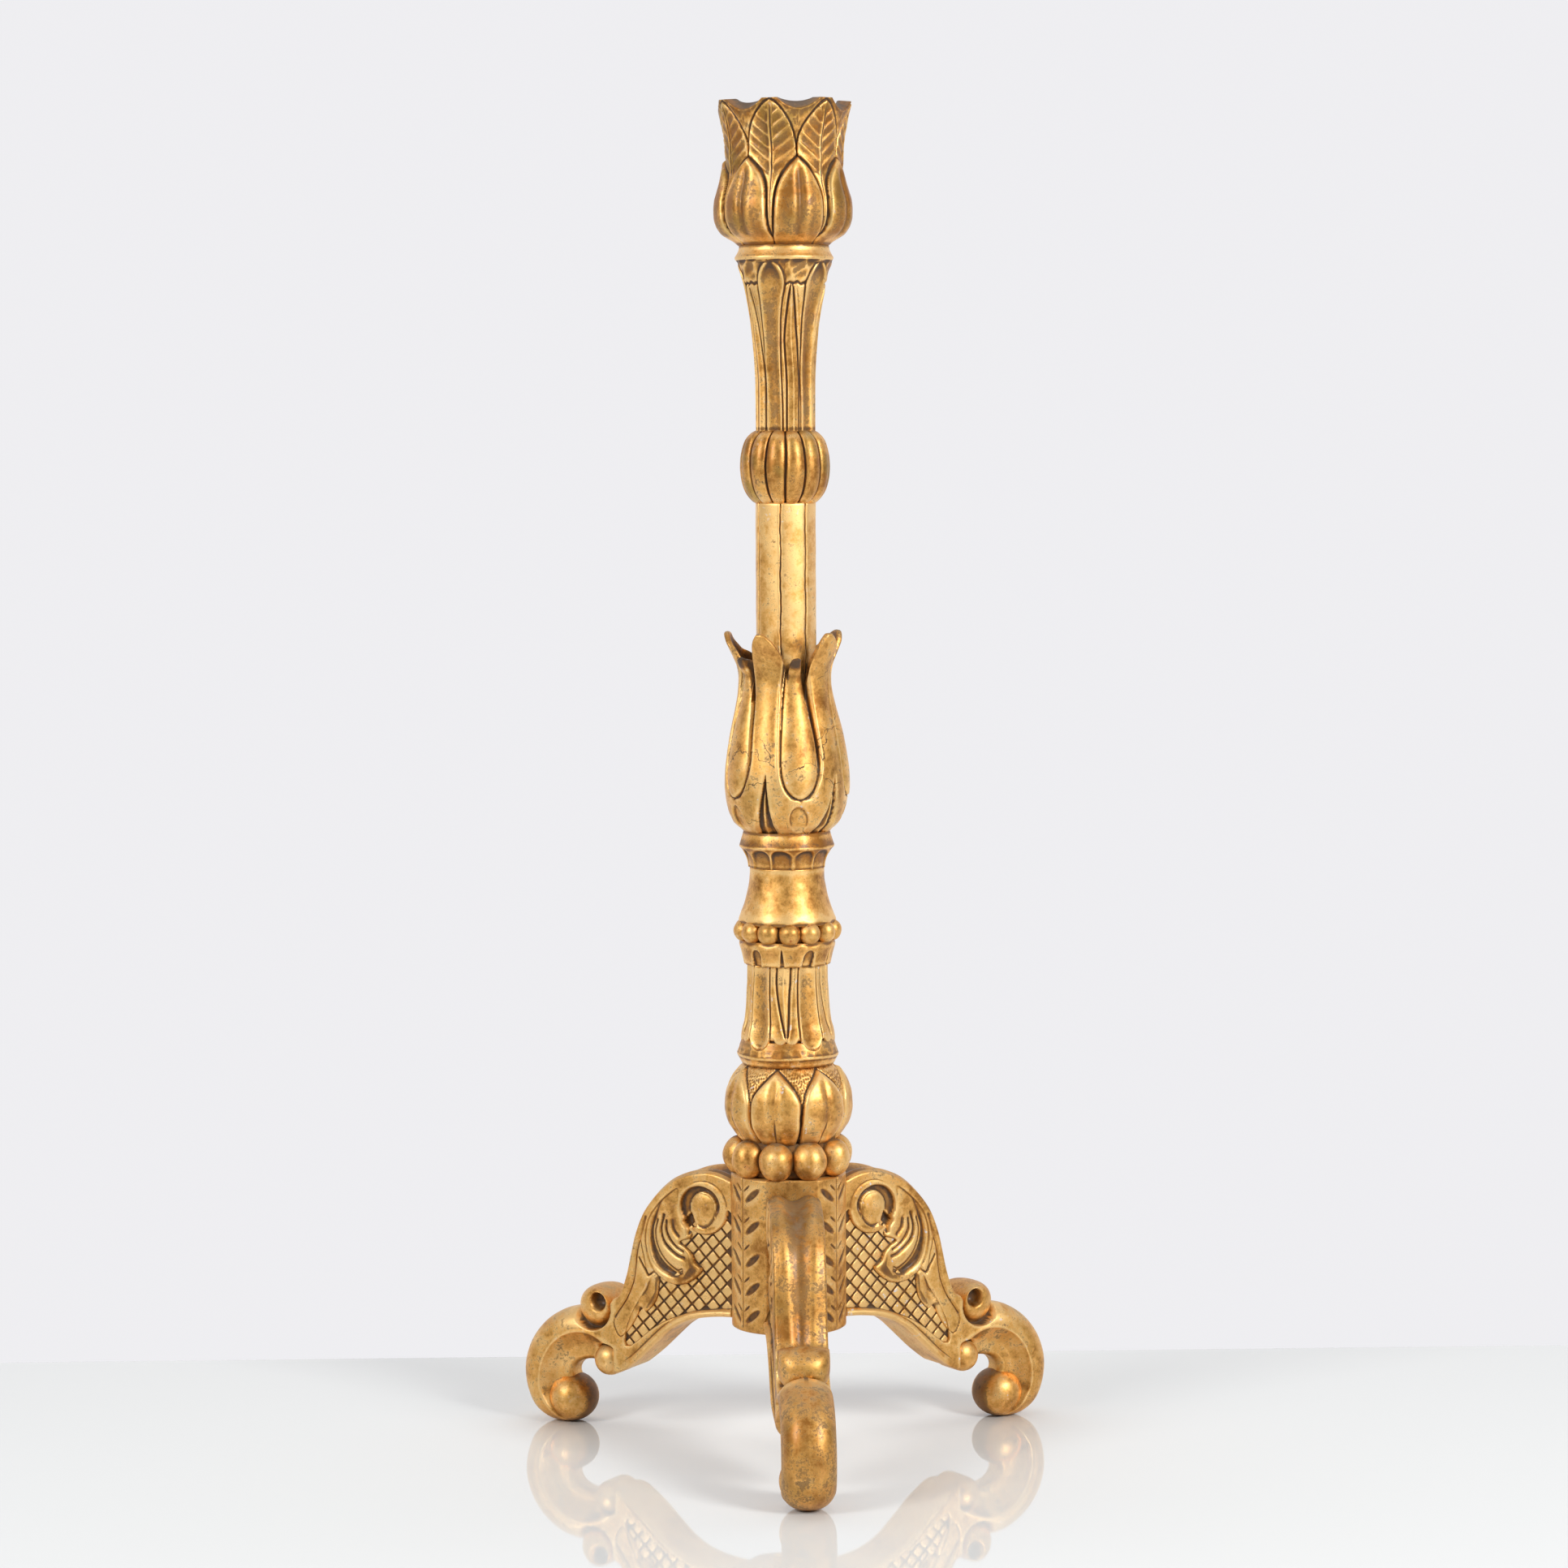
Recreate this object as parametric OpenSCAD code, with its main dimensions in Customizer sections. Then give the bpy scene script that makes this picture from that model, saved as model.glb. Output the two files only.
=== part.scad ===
// Torchere candle stand: a carved, gilded tripod that holds one pillar candle.
// Turned and carved blocks are threaded on dowels over a round hub with three scrolled legs.
// Millimetres. Z is up, the front leg points to -Y, and the floor is at z = 0.

/* [Candle cup] */
// height of the cup block, from its joint with the neck to its leaf tips
cup_h = 106.4; // [90:0.1:125]
// radius of the bulge of the cup over its lower petals
cup_r = 51.2; // [46:0.1:56]
// radius of the straight socket that takes a pillar candle
socket_r = 38.5; // [30:0.1:39.5]
// depth of the socket below the lip
socket_depth = 62; // [40:1:75]
// leaves round the cup, with a petal between each two
cup_leaves = 7; // [5:1:9]
// direction of the leaf nearest the front, in degrees from the front
cup_turn = -14; // [-30:1:30]
// drop of the lip between two leaf tips
lip_drop = 8.6; // [4:0.1:12]

/* [Neck] */
// height of the fluted neck
neck_h = 134.6; // [110:0.1:160]
// radius of the sharp ring at the top of the neck
neck_r = 36.4; // [33:0.1:40]
// tongues carved round the neck, with a dart between each two
neck_tongues = 5; // [4:1:7]
// direction of the tongue nearest the front
neck_turn = -19; // [-40:1:40]

/* [Knop] */
// height of the lobed knop
knop_h = 54; // [40:0.1:70]
// radius of the knop over its lobes
knop_r = 33.3; // [29:0.1:38]
// lobes round the knop
knop_lobes = 13; // [9:1:15]
// depth of the groove between two lobes
knop_groove = 4; // [1:0.1:6]

/* [Shaft] */
// length of the faceted shaft between the calyx floor and the knop
shaft_h = 165; // [140:1:200]
// radius of the shaft over its corners
shaft_r = 22.4; // [19:0.1:25]
// flat sides of the shaft
shaft_sides = 7; // [6:1:8]
// direction of one corner of the shaft
shaft_turn = -11.7; // [-30:0.1:30]
// radius of the turned tenons at both ends of the shaft
tenon_r = 11; // [8:0.5:14]
// length of the tenon that goes through the knop and into the neck, beyond the knop
tenon_in_neck = 30; // [15:1:45]
// length of the tenon that goes into the calyx
tenon_in_calyx = 26; // [15:1:32]

/* [Calyx] */
// height of the calyx to its petal tips
calyx_h = 147.5; // [125:0.1:170]
// radius of the calyx at its widest
calyx_r = 46.9; // [42:0.1:52]
// height of the calyx floor, where the shaft stands
calyx_floor = 78.5; // [60:0.1:90]
// flared petals round the calyx
calyx_petals = 5; // [4:1:6]
// direction of the petal nearest the front
calyx_turn = -30; // [-60:1:60]
// width of the gap between shaft and petals at the calyx floor
calyx_gap = 2.6; // [1:0.1:6]

/* [Spool collar] */
// height of the scalloped spool collar
spool_h = 24.5; // [18:0.1:32]
// radius of the edge of the spool collar
spool_r = 35.2; // [32:0.1:40]
// scallops gouged round the spool collar
spool_scallops = 9; // [7:1:12]
// direction of one ridge between scallops
spool_turn = -15; // [-20:1:20]

/* [Waist] */
// height of the smooth flared waist
waist_h = 41.5; // [32:0.1:52]
// radius of the foot of the waist
waist_r = 36.5; // [33:0.1:40]

/* [Bead collar] */
// height of the collar that carries the small beads
bead_collar_h = 14; // [10:0.1:18]
// radius of one small bead
bead_r = 7.2; // [5:0.1:8]
// radius of the ring on which the small beads are centred
bead_ring_r = 33.8; // [30:0.1:38]
// small beads round the collar
beads = 13; // [9:1:16]
// direction of one small bead
bead_turn = 1.5; // [-15:0.5:15]

/* [Notched band] */
// height of the notched band
band_h = 16.9; // [12:0.1:24]
// radius of the top of the notched band
band_r = 36; // [32:0.1:40]
// notches of each kind round the band
band_notches = 5; // [4:1:7]

/* [Fluted column] */
// height of the short fluted column
column_h = 62.6; // [50:0.1:80]
// radius of the foot of the fluted column
column_r = 35.7; // [32:0.1:40]
// tongues carved round the column, with a dart between each two
column_tongues = 5; // [4:1:7]
// direction of one tongue of the column
column_turn = 27; // [0:1:72]

/* [Collar band] */
// height of the plain turned band under the column
ring_h = 12; // [8:0.1:18]
// radius of the plain turned band
ring_r = 37.8; // [34:0.1:42]

/* [Leaf bulb] */
// height of the leaf-carved bulb
bulb_h = 57; // [45:0.1:70]
// radius of the bulb at its widest
bulb_r = 48.1; // [43:0.1:54]
// leaves round the bulb
bulb_leaves = 7; // [5:1:9]
// direction of the leaf nearest the front
bulb_turn = -14.5; // [-30:0.5:30]

/* [Ball ring] */
// height of the disc that carries the large balls
ball_ring_h = 26; // [22:0.1:34]
// radius of one large ball
ball_r = 12.6; // [9:0.1:13]
// radius of the ring on which the large balls are centred
ball_ring_r = 36.2; // [33:0.1:40]
// large balls round the ring
balls = 9; // [7:1:11]
// direction of one large ball
ball_turn = -17.5; // [-20:0.5:20]

/* [Hub] */
// radius of the round hub
hub_r = 42.8; // [38:0.1:50]
// height of the hub
hub_h = 115; // [108:1:130]
// depth of the gouged laurel leaves and stems on the hub
gouge = 1.2; // [0.4:0.1:2]
// gouged leaves on each side of a laurel stem
laurel_leaves = 5; // [3:1:6]
// direction of the laurel stems beside the front leg
laurel_turn = 55; // [50:0.5:60]

/* [Legs] */
// height of the crest of a leg above the floor
leg_h = 207; // [190:1:225]
// reach of a leg from its seat on the hub to its toe
leg_reach = 184.4; // [165:0.1:205]
// half the thickness of a leg at its carved border
leg_half = 19.5; // [17:0.1:22]
// width of the chamfer along a leg's edges
leg_edge = 3.6; // [1:0.1:5]
// depth of the sunk panel in each side of a leg
panel_depth = 2.6; // [1:0.1:4]
// spacing of the crossed grooves in the panel
lattice_pitch = 8.6; // [6:0.1:12]
// width of a crossed groove
lattice_w = 1.1; // [0.6:0.1:2]
// depth of a crossed groove
lattice_depth = 0.9; // [0.4:0.1:1.5]
// depth of the channel along the crest of a leg
channel_depth = 3.4; // [1:0.1:5]
// direction of the front leg, which stands a little off the middle
front_turn = 2; // [-4:0.5:4]

/* [Dowels and fits] */
// radius of the upright dowels
dowel_r = 9; // [6:0.5:12]
// radius of the dowels that hold the legs
leg_dowel_r = 5; // [4:0.5:7]
// radial clearance of dowels and tenons in their holes, filled with glue
fit_gap = 0.15; // [0.05:0.05:0.5]
// clearance past the end of a dowel or tenon
end_gap = 1; // [0.5:0.1:3]

/* [Hidden] */
$fn = 72;
// a hair's breadth, to carry a cut clear through a face
e = 0.01;

// heights of the joints, from the floor up
z_ball = leg_h;
z_hub = z_ball - hub_h;
z_bulb = z_ball + ball_ring_h;
z_ring = z_bulb + bulb_h;
z_column = z_ring + ring_h;
z_band = z_column + column_h;
z_bead = z_band + band_h;
z_waist = z_bead + bead_collar_h;
z_spool = z_waist + waist_h;
z_calyx = z_spool + spool_h;
z_shaft = z_calyx + calyx_floor;
z_knop = z_shaft + shaft_h;
z_neck = z_knop + knop_h;
z_cup = z_neck + neck_h;
z_top = z_cup + cup_h;

// the stem stands behind the middle of the footprint by half the difference of the legs' reaches
seat_r = sqrt(pow(hub_r, 2) - pow(leg_half, 2));
toe_r = seat_r + leg_reach;
stem_y = (toe_r / 2 - 14.8) / 2;

// ends of the dowels, as distances into the blocks they join
dowel_in_hub = 57;
dowel_in_column = 24;
waist_dowel_down = 26;
waist_dowel_up = 16;
calyx_dowel_down = 18;
calyx_dowel_up = 24;
cup_dowel_in = 24;
leg_dowel_in = 24;
leg_dowel_z = [0.58, 0.84];

// turned profiles: [height above the block's own joint, radius]
cup_line = [[0, 32.5], [3, 35.7], [6, 41.3], [8.4, 45.2], [11.4, 47.5], [14.4, 49.3], [20.4, 51.2],
  [32.4, 50.9], [38.4, 49], [44.4, 47], [50.4, 45.5], [56, 44.5], [60, 43.2], [64.4, 43.4],
  [76.4, 43.7], [82.4, 45], [88.4, 46], [94.4, 47.5], [106.4, 49.8]];
neck_line = [[0, 22], [36, 22.2], [44, 22.4], [53, 23], [62, 23.8], [71, 24.5], [80, 25.6], [89, 27.1],
  [98, 29.2], [106.8, 31], [115.6, 33.9], [124.3, 36.4], [128.6, 34.5], [131.6, 33], [134.6, 32.6]];
knop_line = [[0, 21], [3, 24.8], [6, 27.6], [9, 29.6], [15, 31.7], [21, 32.9], [28, 33.3], [33, 32.9],
  [39, 31.7], [45, 29.9], [48, 28], [51, 24.8], [54, 21.6]];
calyx_line = [[0, 31.3], [3, 32.5], [6.1, 36.7], [9.1, 39.7], [12.5, 41.2], [15.5, 43], [21.5, 44.5],
  [27.5, 45.7], [36.5, 46.9], [45.5, 46.3], [57.5, 44.8], [69.5, 42.7], [81.5, 40.2], [93.5, 37.5],
  [105.5, 35.4], [115.5, 34.5], [123.5, 35.4], [129.5, 37.5], [135.5, 40], [141.5, 42.6],
  [147.5, 45]];
spool_line = [[0, 27.7], [3.4, 28.6], [6.4, 29.8], [9.4, 31], [12.4, 33.1], [14.5, 35.2],
  [21.5, 33], [24.5, 31.3]];
waist_line = [[0, 36], [2.5, 36.5], [5.5, 34.7], [8.5, 33.8], [11.5, 32.3], [14.5, 31.4], [20.5, 29.8],
  [26.5, 28.6], [32.5, 27.7], [41.5, 27.6]];
band_line = [[0, 30.2], [3.4, 32.3], [9.4, 34.1], [15.4, 35.9], [16.9, 36]];
column_line = [[0, 35.7], [8, 35.3], [14, 34.4], [20, 32.9], [26, 31.4], [32, 31.4], [44, 30.9],
  [50, 30.2], [62.6, 30.2]];
ring_line = [[0, 34.6], [1.6, 35.3], [4.7, 37.2], [7.7, 37.8], [10.8, 36.5], [12, 35.7]];
bulb_line = [[0, 33], [3, 36.5], [7, 40.5], [13, 44.8], [19, 46.9], [25, 48.1], [34, 47.2], [40, 45.6],
  [46.4, 43.2], [49.5, 41.4], [52.5, 39.3], [55.6, 36.9], [57, 34.6]];

// a leg's upper and lower edges at like stations from the seat to the curled toe:
// [distance from the stem's axis, height above the floor]
drawn_seat = 38.1;
drawn_toe = 222.5;
drawn_h = 207;
leg_upper = [[38.1, 202], [48, 205.5], [57, 207], [67, 206.3], [80, 202.7], [93, 196.2], [106, 184.5],
  [116.5, 170.5], [123.7, 153.5], [128, 137], [132, 121], [137.5, 107], [144, 99], [151, 94.5],
  [159, 92.8], [168.5, 92.4], [180, 90.8], [193, 85.2], [207, 74.5], [217.3, 60.5], [222.5, 44.5],
  [221.5, 28], [215, 12.5], [204.5, 3], [192.5, 0], [182, 1.6]];
leg_lower = [[38.1, 96.8], [48, 96.3], [57, 95.3], [66, 93.8], [75, 91.2], [84, 87.2], [93, 81.4],
  [101, 74.3], [109, 66.8], [117, 59.4], [125, 52.9], [133, 47.4], [140, 43.3], [146, 41],
  [152, 40.7], [157.5, 43.5], [162, 48.3], [168.5, 50], [175, 48.8], [179.6, 45.3], [181.2, 40],
  [178.4, 35.4], [172.8, 30], [169.8, 21], [171.5, 10.5], [175.5, 5.2]];
scroll_c = [152.5, 96];
panel_line = [[38.1, 196.5], [47, 199], [58, 200], [72, 197.5], [86, 191], [98, 180.5], [107.5, 166.5],
  [113.5, 150], [118, 133], [123.5, 116], [131, 100], [137, 86], [135.5, 74], [131, 67.5],
  [121, 68.5], [110, 78], [101, 85.8], [91, 92], [79.5, 97], [66, 100.3], [52, 102.2], [38.1, 102.6]];
leaf_line = [[82, 190.5], [94, 183.5], [103, 171], [107.4, 156], [107, 141], [102, 129], [93, 121.3],
  [83, 118.6], [73.5, 122], [66.5, 129.5], [64.5, 137], [72, 137], [76.5, 141.5], [73, 148],
  [68.5, 152.5], [72, 157], [79.5, 160], [85, 168]];
strip_line = [[115.5, 153], [122, 134], [128, 117], [135, 102], [141, 88], [139.5, 76],
  [132.5, 69.8], [124, 80], [119.5, 90], [113.5, 95.5], [109.5, 104], [109, 115], [112, 126],
  [110.5, 139]];
scoop_line = [[160, 62], [166, 73], [176, 79.6], [188, 79.4], [199, 73.5], [207.5, 62], [211, 47],
  [209.5, 33], [203, 22], [196, 21], [190, 31], [184, 40], [176, 46], [167, 47], [161, 53]];
lattice_line = [[39.6, 169], [45, 161], [54, 156.5], [64, 156.5], [76, 152], [80, 144], [70, 134],
  [72, 128], [84, 124], [96, 128], [110, 122], [110.5, 110], [110, 100], [118, 94], [122, 84], [130, 73],
  [129, 69.6], [121, 70.5], [110, 79.8], [101, 87.5], [91, 93.6], [79.5, 98.6], [66, 101.9],
  [52, 103.8], [39.6, 104.4]];
volute_c = [62.5, 178.3];
volute_r = 20.4;
volute_ring_r = 14.6;
volute_eye_r = 10.3;
toe_c = [187, 17.8];
toe_ball_r = 15.8;
scroll_r = 14.8;

// a table of [height, radius] stretched to a block's height and greatest radius
function fitted(tab, h, r) = let (n = len(tab) - 1, m = max([for (p = tab) p[1]]))
  [for (p = tab) [p[0] * h / tab[n][0], p[1] * r / m]];
// a table of leg points stretched to the seat, the reach and the height of the legs
function leg_pt(p) = [seat_r + (p[0] - drawn_seat) * leg_reach / (drawn_toe - drawn_seat),
  p[1] * leg_h / drawn_h];
function leg_pts(tab) = [for (p = tab) leg_pt(p)];
function leg_size(r) = r * leg_h / drawn_h;
// a smooth curve through points, with n steps between each two
function knot(p, i, j) = p[min(max(i + j, 0), len(p) - 1)];
function bend(a, b, c, d, t) = 0.5 * (2 * b + (c - a) * t + (2 * a - 5 * b + 4 * c - d) * t * t
  + (3 * b - a - 3 * c + d) * t * t * t);
function curve(p, n) = concat([for (i = [0 : len(p) - 2], k = [0 : n - 1])
  bend(knot(p, i, -1), p[i], p[i + 1], knot(p, i, 2), k / n)], [p[len(p) - 1]]);
function loop(p, n) = let (m = len(p)) [for (i = [0 : m - 1], k = [0 : n - 1])
  bend(p[(i + m - 1) % m], p[i], p[(i + 1) % m], p[(i + 2) % m], k / n)];
// a closed outline moved inwards by d, for an outline that runs clockwise
function unit(v) = v / max(norm(v), e / 100);
function inset(p, d) = let (m = len(p)) [for (i = [0 : m - 1])
  let (t = unit(p[(i + 1) % m] - p[(i + m - 1) % m])) p[i] + d * [t[1], -t[0]]];
// angle between direction a and the nearest of n directions that start at a0
function off(a, n, a0) = let (p = 360 / n, d = a - a0 + p / 2) d - p * floor(d / p) - p / 2;
function arc(x) = 1 - pow(min(abs(x), 1), 2);

// a solid turned about the stem from a profile of [height, radius]
module turned(tab) {
  n = len(tab) - 1;
  rotate_extrude()
    polygon(concat([[0, tab[0][0]]], [for (p = tab) [p[1], p[0]]], [[0, tab[n][0]]]));
}

// a carved solid: rows of [radius, height] round the stem, one point every step degrees
module carved(rows, n_a, z_low, z_high) {
  n = len(rows);
  step = 360 / n_a;
  pts = concat([for (row = rows, k = [0 : n_a - 1])
      [row[k][0] * sin(k * step), -row[k][0] * cos(k * step), row[k][1]]],
    [[0, 0, z_low], [0, 0, z_high]]);
  sides = [for (i = [0 : n - 2], k = [0 : n_a - 1]) let (a = i * n_a + k, b = i * n_a + (k + 1) % n_a)
    each [[a, a + n_a, b], [b, a + n_a, b + n_a]]];
  caps = [for (k = [0 : n_a - 1]) let (b = (k + 1) % n_a)
    each [[k, b, n * n_a], [(n - 1) * n_a + b, (n - 1) * n_a + k, n * n_a + 1]]];
  polyhedron(pts, concat(sides, caps));
}

// places children on the stem's axis, with their own joint at height z
module on_stem(z) translate([0, stem_y, z]) children();

// points a piece drawn along +X in the direction az, measured from the front
module facing(az) rotate([0, 0, az - 90]) children();

// a hole for an upright dowel of length h
module dowel_hole(h) translate([0, 0, -e]) cylinder(r = dowel_r + fit_gap, h = h + e);

// a turned dowel of length h with eased ends
module dowel(h, r) {
  ease = r / 6;
  turned([[0, r - ease], [ease, r], [h - ease, r], [h, r - ease]]);
}

// half widths, in parts of half a repeat, of a cup leaf and of a cup petal up the cup
cup_leaf_w = [[0, 0.08], [44, 0.1], [52, 0.36], [60, 0.62], [68, 0.86], [75, 1], [82, 0.93],
  [90, 0.68], [98, 0.36], [106.4, 0.02]];
cup_petal_w = [[0, 0.7], [12, 0.9], [26, 1], [40, 0.97], [48, 0.82], [54, 0.56], [60, 0.26], [64, 0]];
cup_steps = [0, 3.5, 7.5, 12, 19, 28, 37, 45, 52, 57, 62, 68, 75, 82, 89, 94];

function cup_at(a, z, line) = let (
    half = 180 / cup_leaves,
    x_leaf = abs(off(a, cup_leaves, cup_turn)) / half,
    x_petal = 1 - x_leaf,
    u = z * cup_line[len(cup_line) - 1][0] / cup_h,
    w_leaf = lookup(u, cup_leaf_w),
    w_petal = lookup(u, cup_petal_w),
    r = lookup(z, line))
  x_petal < w_petal ? r - 2.4 * pow(x_petal / w_petal, 2)
  : x_leaf < w_leaf ? min(r, 0.86 * cup_r) - 1.1 * pow(x_leaf / w_leaf, 2) + 0.4
  : min(r, 0.86 * cup_r) - 2;

module candle_cup() color([0.78, 0.57, 0.24]) on_stem(z_cup) difference() {
  n_a = cup_leaves * 12;
  line = fitted(cup_line, cup_h, cup_r);
  k = cup_h / cup_line[len(cup_line) - 1][0];
  lip_r = 0.5 * (socket_r + cup_r) - 3;
  rows = [for (s = cup_steps) [for (j = [0 : n_a - 1]) [cup_at(j * 360 / n_a, s * k, line), s * k]]];
  lip = [for (j = [0 : n_a - 1]) let (x = 1 - abs(off(j * 360 / n_a, cup_leaves, cup_turn)) * cup_leaves / 180)
    [lookup(cup_h - lip_drop * arc(x), line) - 0.8 * arc(x), cup_h - lip_drop * arc(x)]];
  lip_in = [for (j = [0 : n_a - 1]) let (x = 1 - abs(off(j * 360 / n_a, cup_leaves, cup_turn)) * cup_leaves / 180)
    [lip_r, cup_h - 1 - 0.4 * lip_drop * arc(x)]];
  carved(concat(rows, [lip, lip_in]), n_a, 0, cup_h - 1 - 0.2 * lip_drop);
  translate([0, 0, cup_h - socket_depth]) cylinder(r = socket_r, h = socket_depth + 1);
  dowel_hole(cup_dowel_in + end_gap);
}

module cup_dowel() color([0.72, 0.55, 0.36]) on_stem(z_cup - cup_dowel_in)
  dowel(2 * cup_dowel_in, dowel_r);

// relief of a fluted block: tongues with rounded tops, and a pointed dart between each two
function flute_at(a, n, a0, r, deep) = let (x = abs(off(a, n, a0)) * n / 180)
  x < 0.5 ? r - deep * 0.45 * pow(x / 0.5, 2)
  : x < 0.66 ? r - deep
  : x < 0.84 ? r - deep * 0.5
  : r - deep * (x < 0.94 ? 0.9 : 0.35);

neck_steps = [0, 18, 36, 53, 71, 89, 103, 113, 120, 124.3, 128.6, 131.6, 134.6];

module neck() color([0.78, 0.57, 0.24]) on_stem(z_neck) difference() {
  n_a = neck_tongues * 16;
  line = fitted(neck_line, neck_h, neck_r);
  k = neck_h / neck_line[len(neck_line) - 1][0];
  rows = [for (s = neck_steps) [for (j = [0 : n_a - 1])
    let (fade = s < 113 ? 1 : s < 120 ? 0.5 : 0)
    [flute_at(j * 360 / n_a, neck_tongues, neck_turn, lookup(s * k, line), 2.4 * fade), s * k]]];
  carved(rows, n_a, 0, neck_h);
  translate([0, 0, neck_h - cup_dowel_in - end_gap]) dowel_hole(cup_dowel_in + end_gap + 1);
  translate([0, 0, -e]) cylinder(r = tenon_r + fit_gap, h = tenon_in_neck + end_gap + e);
}

knop_steps = [0, 3, 8, 15, 24, 32, 40, 47, 51, 54];

module knop() color([0.78, 0.57, 0.24]) on_stem(z_knop) difference() {
  n_a = knop_lobes * 6;
  line = fitted(knop_line, knop_h, knop_r);
  k = knop_h / knop_line[len(knop_line) - 1][0];
  rows = [for (s = knop_steps) [for (j = [0 : n_a - 1])
    let (x = off(j * 360 / n_a, knop_lobes, 180 / knop_lobes) * knop_lobes / 180,
      deep = knop_groove * sin(180 * s * k / knop_h))
    [lookup(s * k, line) - deep * (1 - sqrt(max(0, 1 - 0.96 * x * x))), s * k]]];
  carved(rows, n_a, 0, knop_h);
  translate([0, 0, -e]) cylinder(r = tenon_r + fit_gap, h = knop_h + 2 * e);
}

module shaft() color([0.8, 0.6, 0.27]) on_stem(z_shaft) {
  groove = 0.8;
  difference() {
    rotate([0, 0, shaft_turn - 90]) cylinder(r = shaft_r, h = shaft_h, $fn = shaft_sides);
    for (k = [0 : shaft_sides - 1]) rotate([0, 0, shaft_turn - 90 + (k + 0.09) * 360 / shaft_sides])
      translate([shaft_r - 1.6, 0, -e]) cylinder(r = groove, h = shaft_h + 2 * e, $fn = 24);
  }
  translate([0, 0, shaft_h - e]) cylinder(r = tenon_r, h = knop_h + tenon_in_neck + e);
  translate([0, 0, -tenon_in_calyx]) cylinder(r = tenon_r, h = tenon_in_calyx + e);
}

// height of the calyx's edge, by distance from a petal's centre in parts of half a repeat
calyx_edge = [[0, 147.5], [0.12, 143], [0.3, 133], [0.5, 120], [0.66, 109], [0.78, 104], [0.88, 114],
  [1, 126]];
// half width of the raised boss between two petals
boss_w = [[21, 0], [24, 0.2], [30, 0.38], [40, 0.46], [52, 0.46], [70, 0.36], [90, 0.24], [108, 0.12],
  [116, 0]];
calyx_steps = [0, 3.5, 7.5, 12.5, 18, 25, 33, 42, 52, 64, 76, 88, 98, 104];

function calyx_at(a, z, line) = let (
    x = abs(off(a, calyx_petals, calyx_turn)) * calyx_petals / 180,
    y = 1 - x,
    u = z * calyx_line[len(calyx_line) - 1][0] / calyx_h,
    w = lookup(u, boss_w),
    slit = u < 46 ? 0.1 * (46 - u) / 34 : 0,
    r = lookup(z, line))
  x < slit ? r - 3
  : w > 0 && y < w ? r + 0.6 - 1.2 * pow(y / w, 2)
  : w > 0 && y < w + 0.16 ? r - 2.6
  : r - 0.8 * x;

module tulip_calyx() color([0.78, 0.57, 0.24]) on_stem(z_calyx) difference() {
  n_a = calyx_petals * 16;
  line = fitted(calyx_line, calyx_h, calyx_r);
  k = calyx_h / calyx_line[len(calyx_line) - 1][0];
  room = shaft_r + calyx_gap;
  rows = [for (s = calyx_steps) [for (j = [0 : n_a - 1]) [calyx_at(j * 360 / n_a, s * k, line), s * k]]];
  rim = [for (f = [0.35, 0.7, 1]) [for (j = [0 : n_a - 1])
    let (x = abs(off(j * 360 / n_a, calyx_petals, calyx_turn)) * calyx_petals / 180,
      low = calyx_steps[len(calyx_steps) - 1] * k,
      top = max(lookup(x, calyx_edge) * k, low + 0.6),
      z = low + f * (top - low))
    [lookup(z, line) - (x > 0.78 ? 2.4 : 0.8 * x), z]]];
  carved(concat(rows, rim), n_a, 0, calyx_h - 8);
  rotate_extrude() polygon([[0, calyx_floor], [room - 1, calyx_floor], [room, calyx_floor + 4],
    [room + 1.6, 0.7 * calyx_h], [room + 3.4, 0.8 * calyx_h], [room + 9, 0.9 * calyx_h],
    [room + 17.2, calyx_h + 1], [0, calyx_h + 1]]);
  translate([0, 0, calyx_floor - tenon_in_calyx - end_gap])
    cylinder(r = tenon_r + fit_gap, h = tenon_in_calyx + end_gap + 1);
  dowel_hole(calyx_dowel_up + end_gap);
}

module calyx_dowel() color([0.72, 0.55, 0.36]) on_stem(z_spool - calyx_dowel_down)
  dowel(calyx_dowel_down + spool_h + calyx_dowel_up, dowel_r);

module spool_collar() color([0.76, 0.55, 0.23]) on_stem(z_spool) difference() {
  turned(fitted(spool_line, spool_h, spool_r));
  for (k = [0 : spool_scallops - 1]) facing(spool_turn + (k + 0.5) * 360 / spool_scallops)
    translate([1.17 * spool_r, 0, 0.59 * spool_h]) rotate([0, 28, 0]) translate([0, 0, -0.9 * spool_h])
      cylinder(r = 0.27 * spool_r, h = 0.88 * spool_h);
  dowel_hole(spool_h + e);
}

module vase_waist() color([0.8, 0.6, 0.27]) on_stem(z_waist) difference() {
  turned(curve(fitted(waist_line, waist_h, waist_r), 2));
  dowel_hole(waist_dowel_up + end_gap);
  translate([0, 0, waist_h - calyx_dowel_down - end_gap]) dowel_hole(calyx_dowel_down + end_gap + 1);
}

module bead_collar() color([0.78, 0.57, 0.24]) on_stem(z_bead) difference() {
  union() {
    cylinder(r = bead_ring_r - 0.3 * bead_r, h = bead_collar_h);
    for (k = [0 : beads - 1]) facing(bead_turn + k * 360 / beads)
      translate([bead_ring_r, 0, bead_collar_h / 2]) sphere(r = min(bead_r, bead_collar_h / 2 - e));
  }
  dowel_hole(bead_collar_h + e);
}

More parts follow.
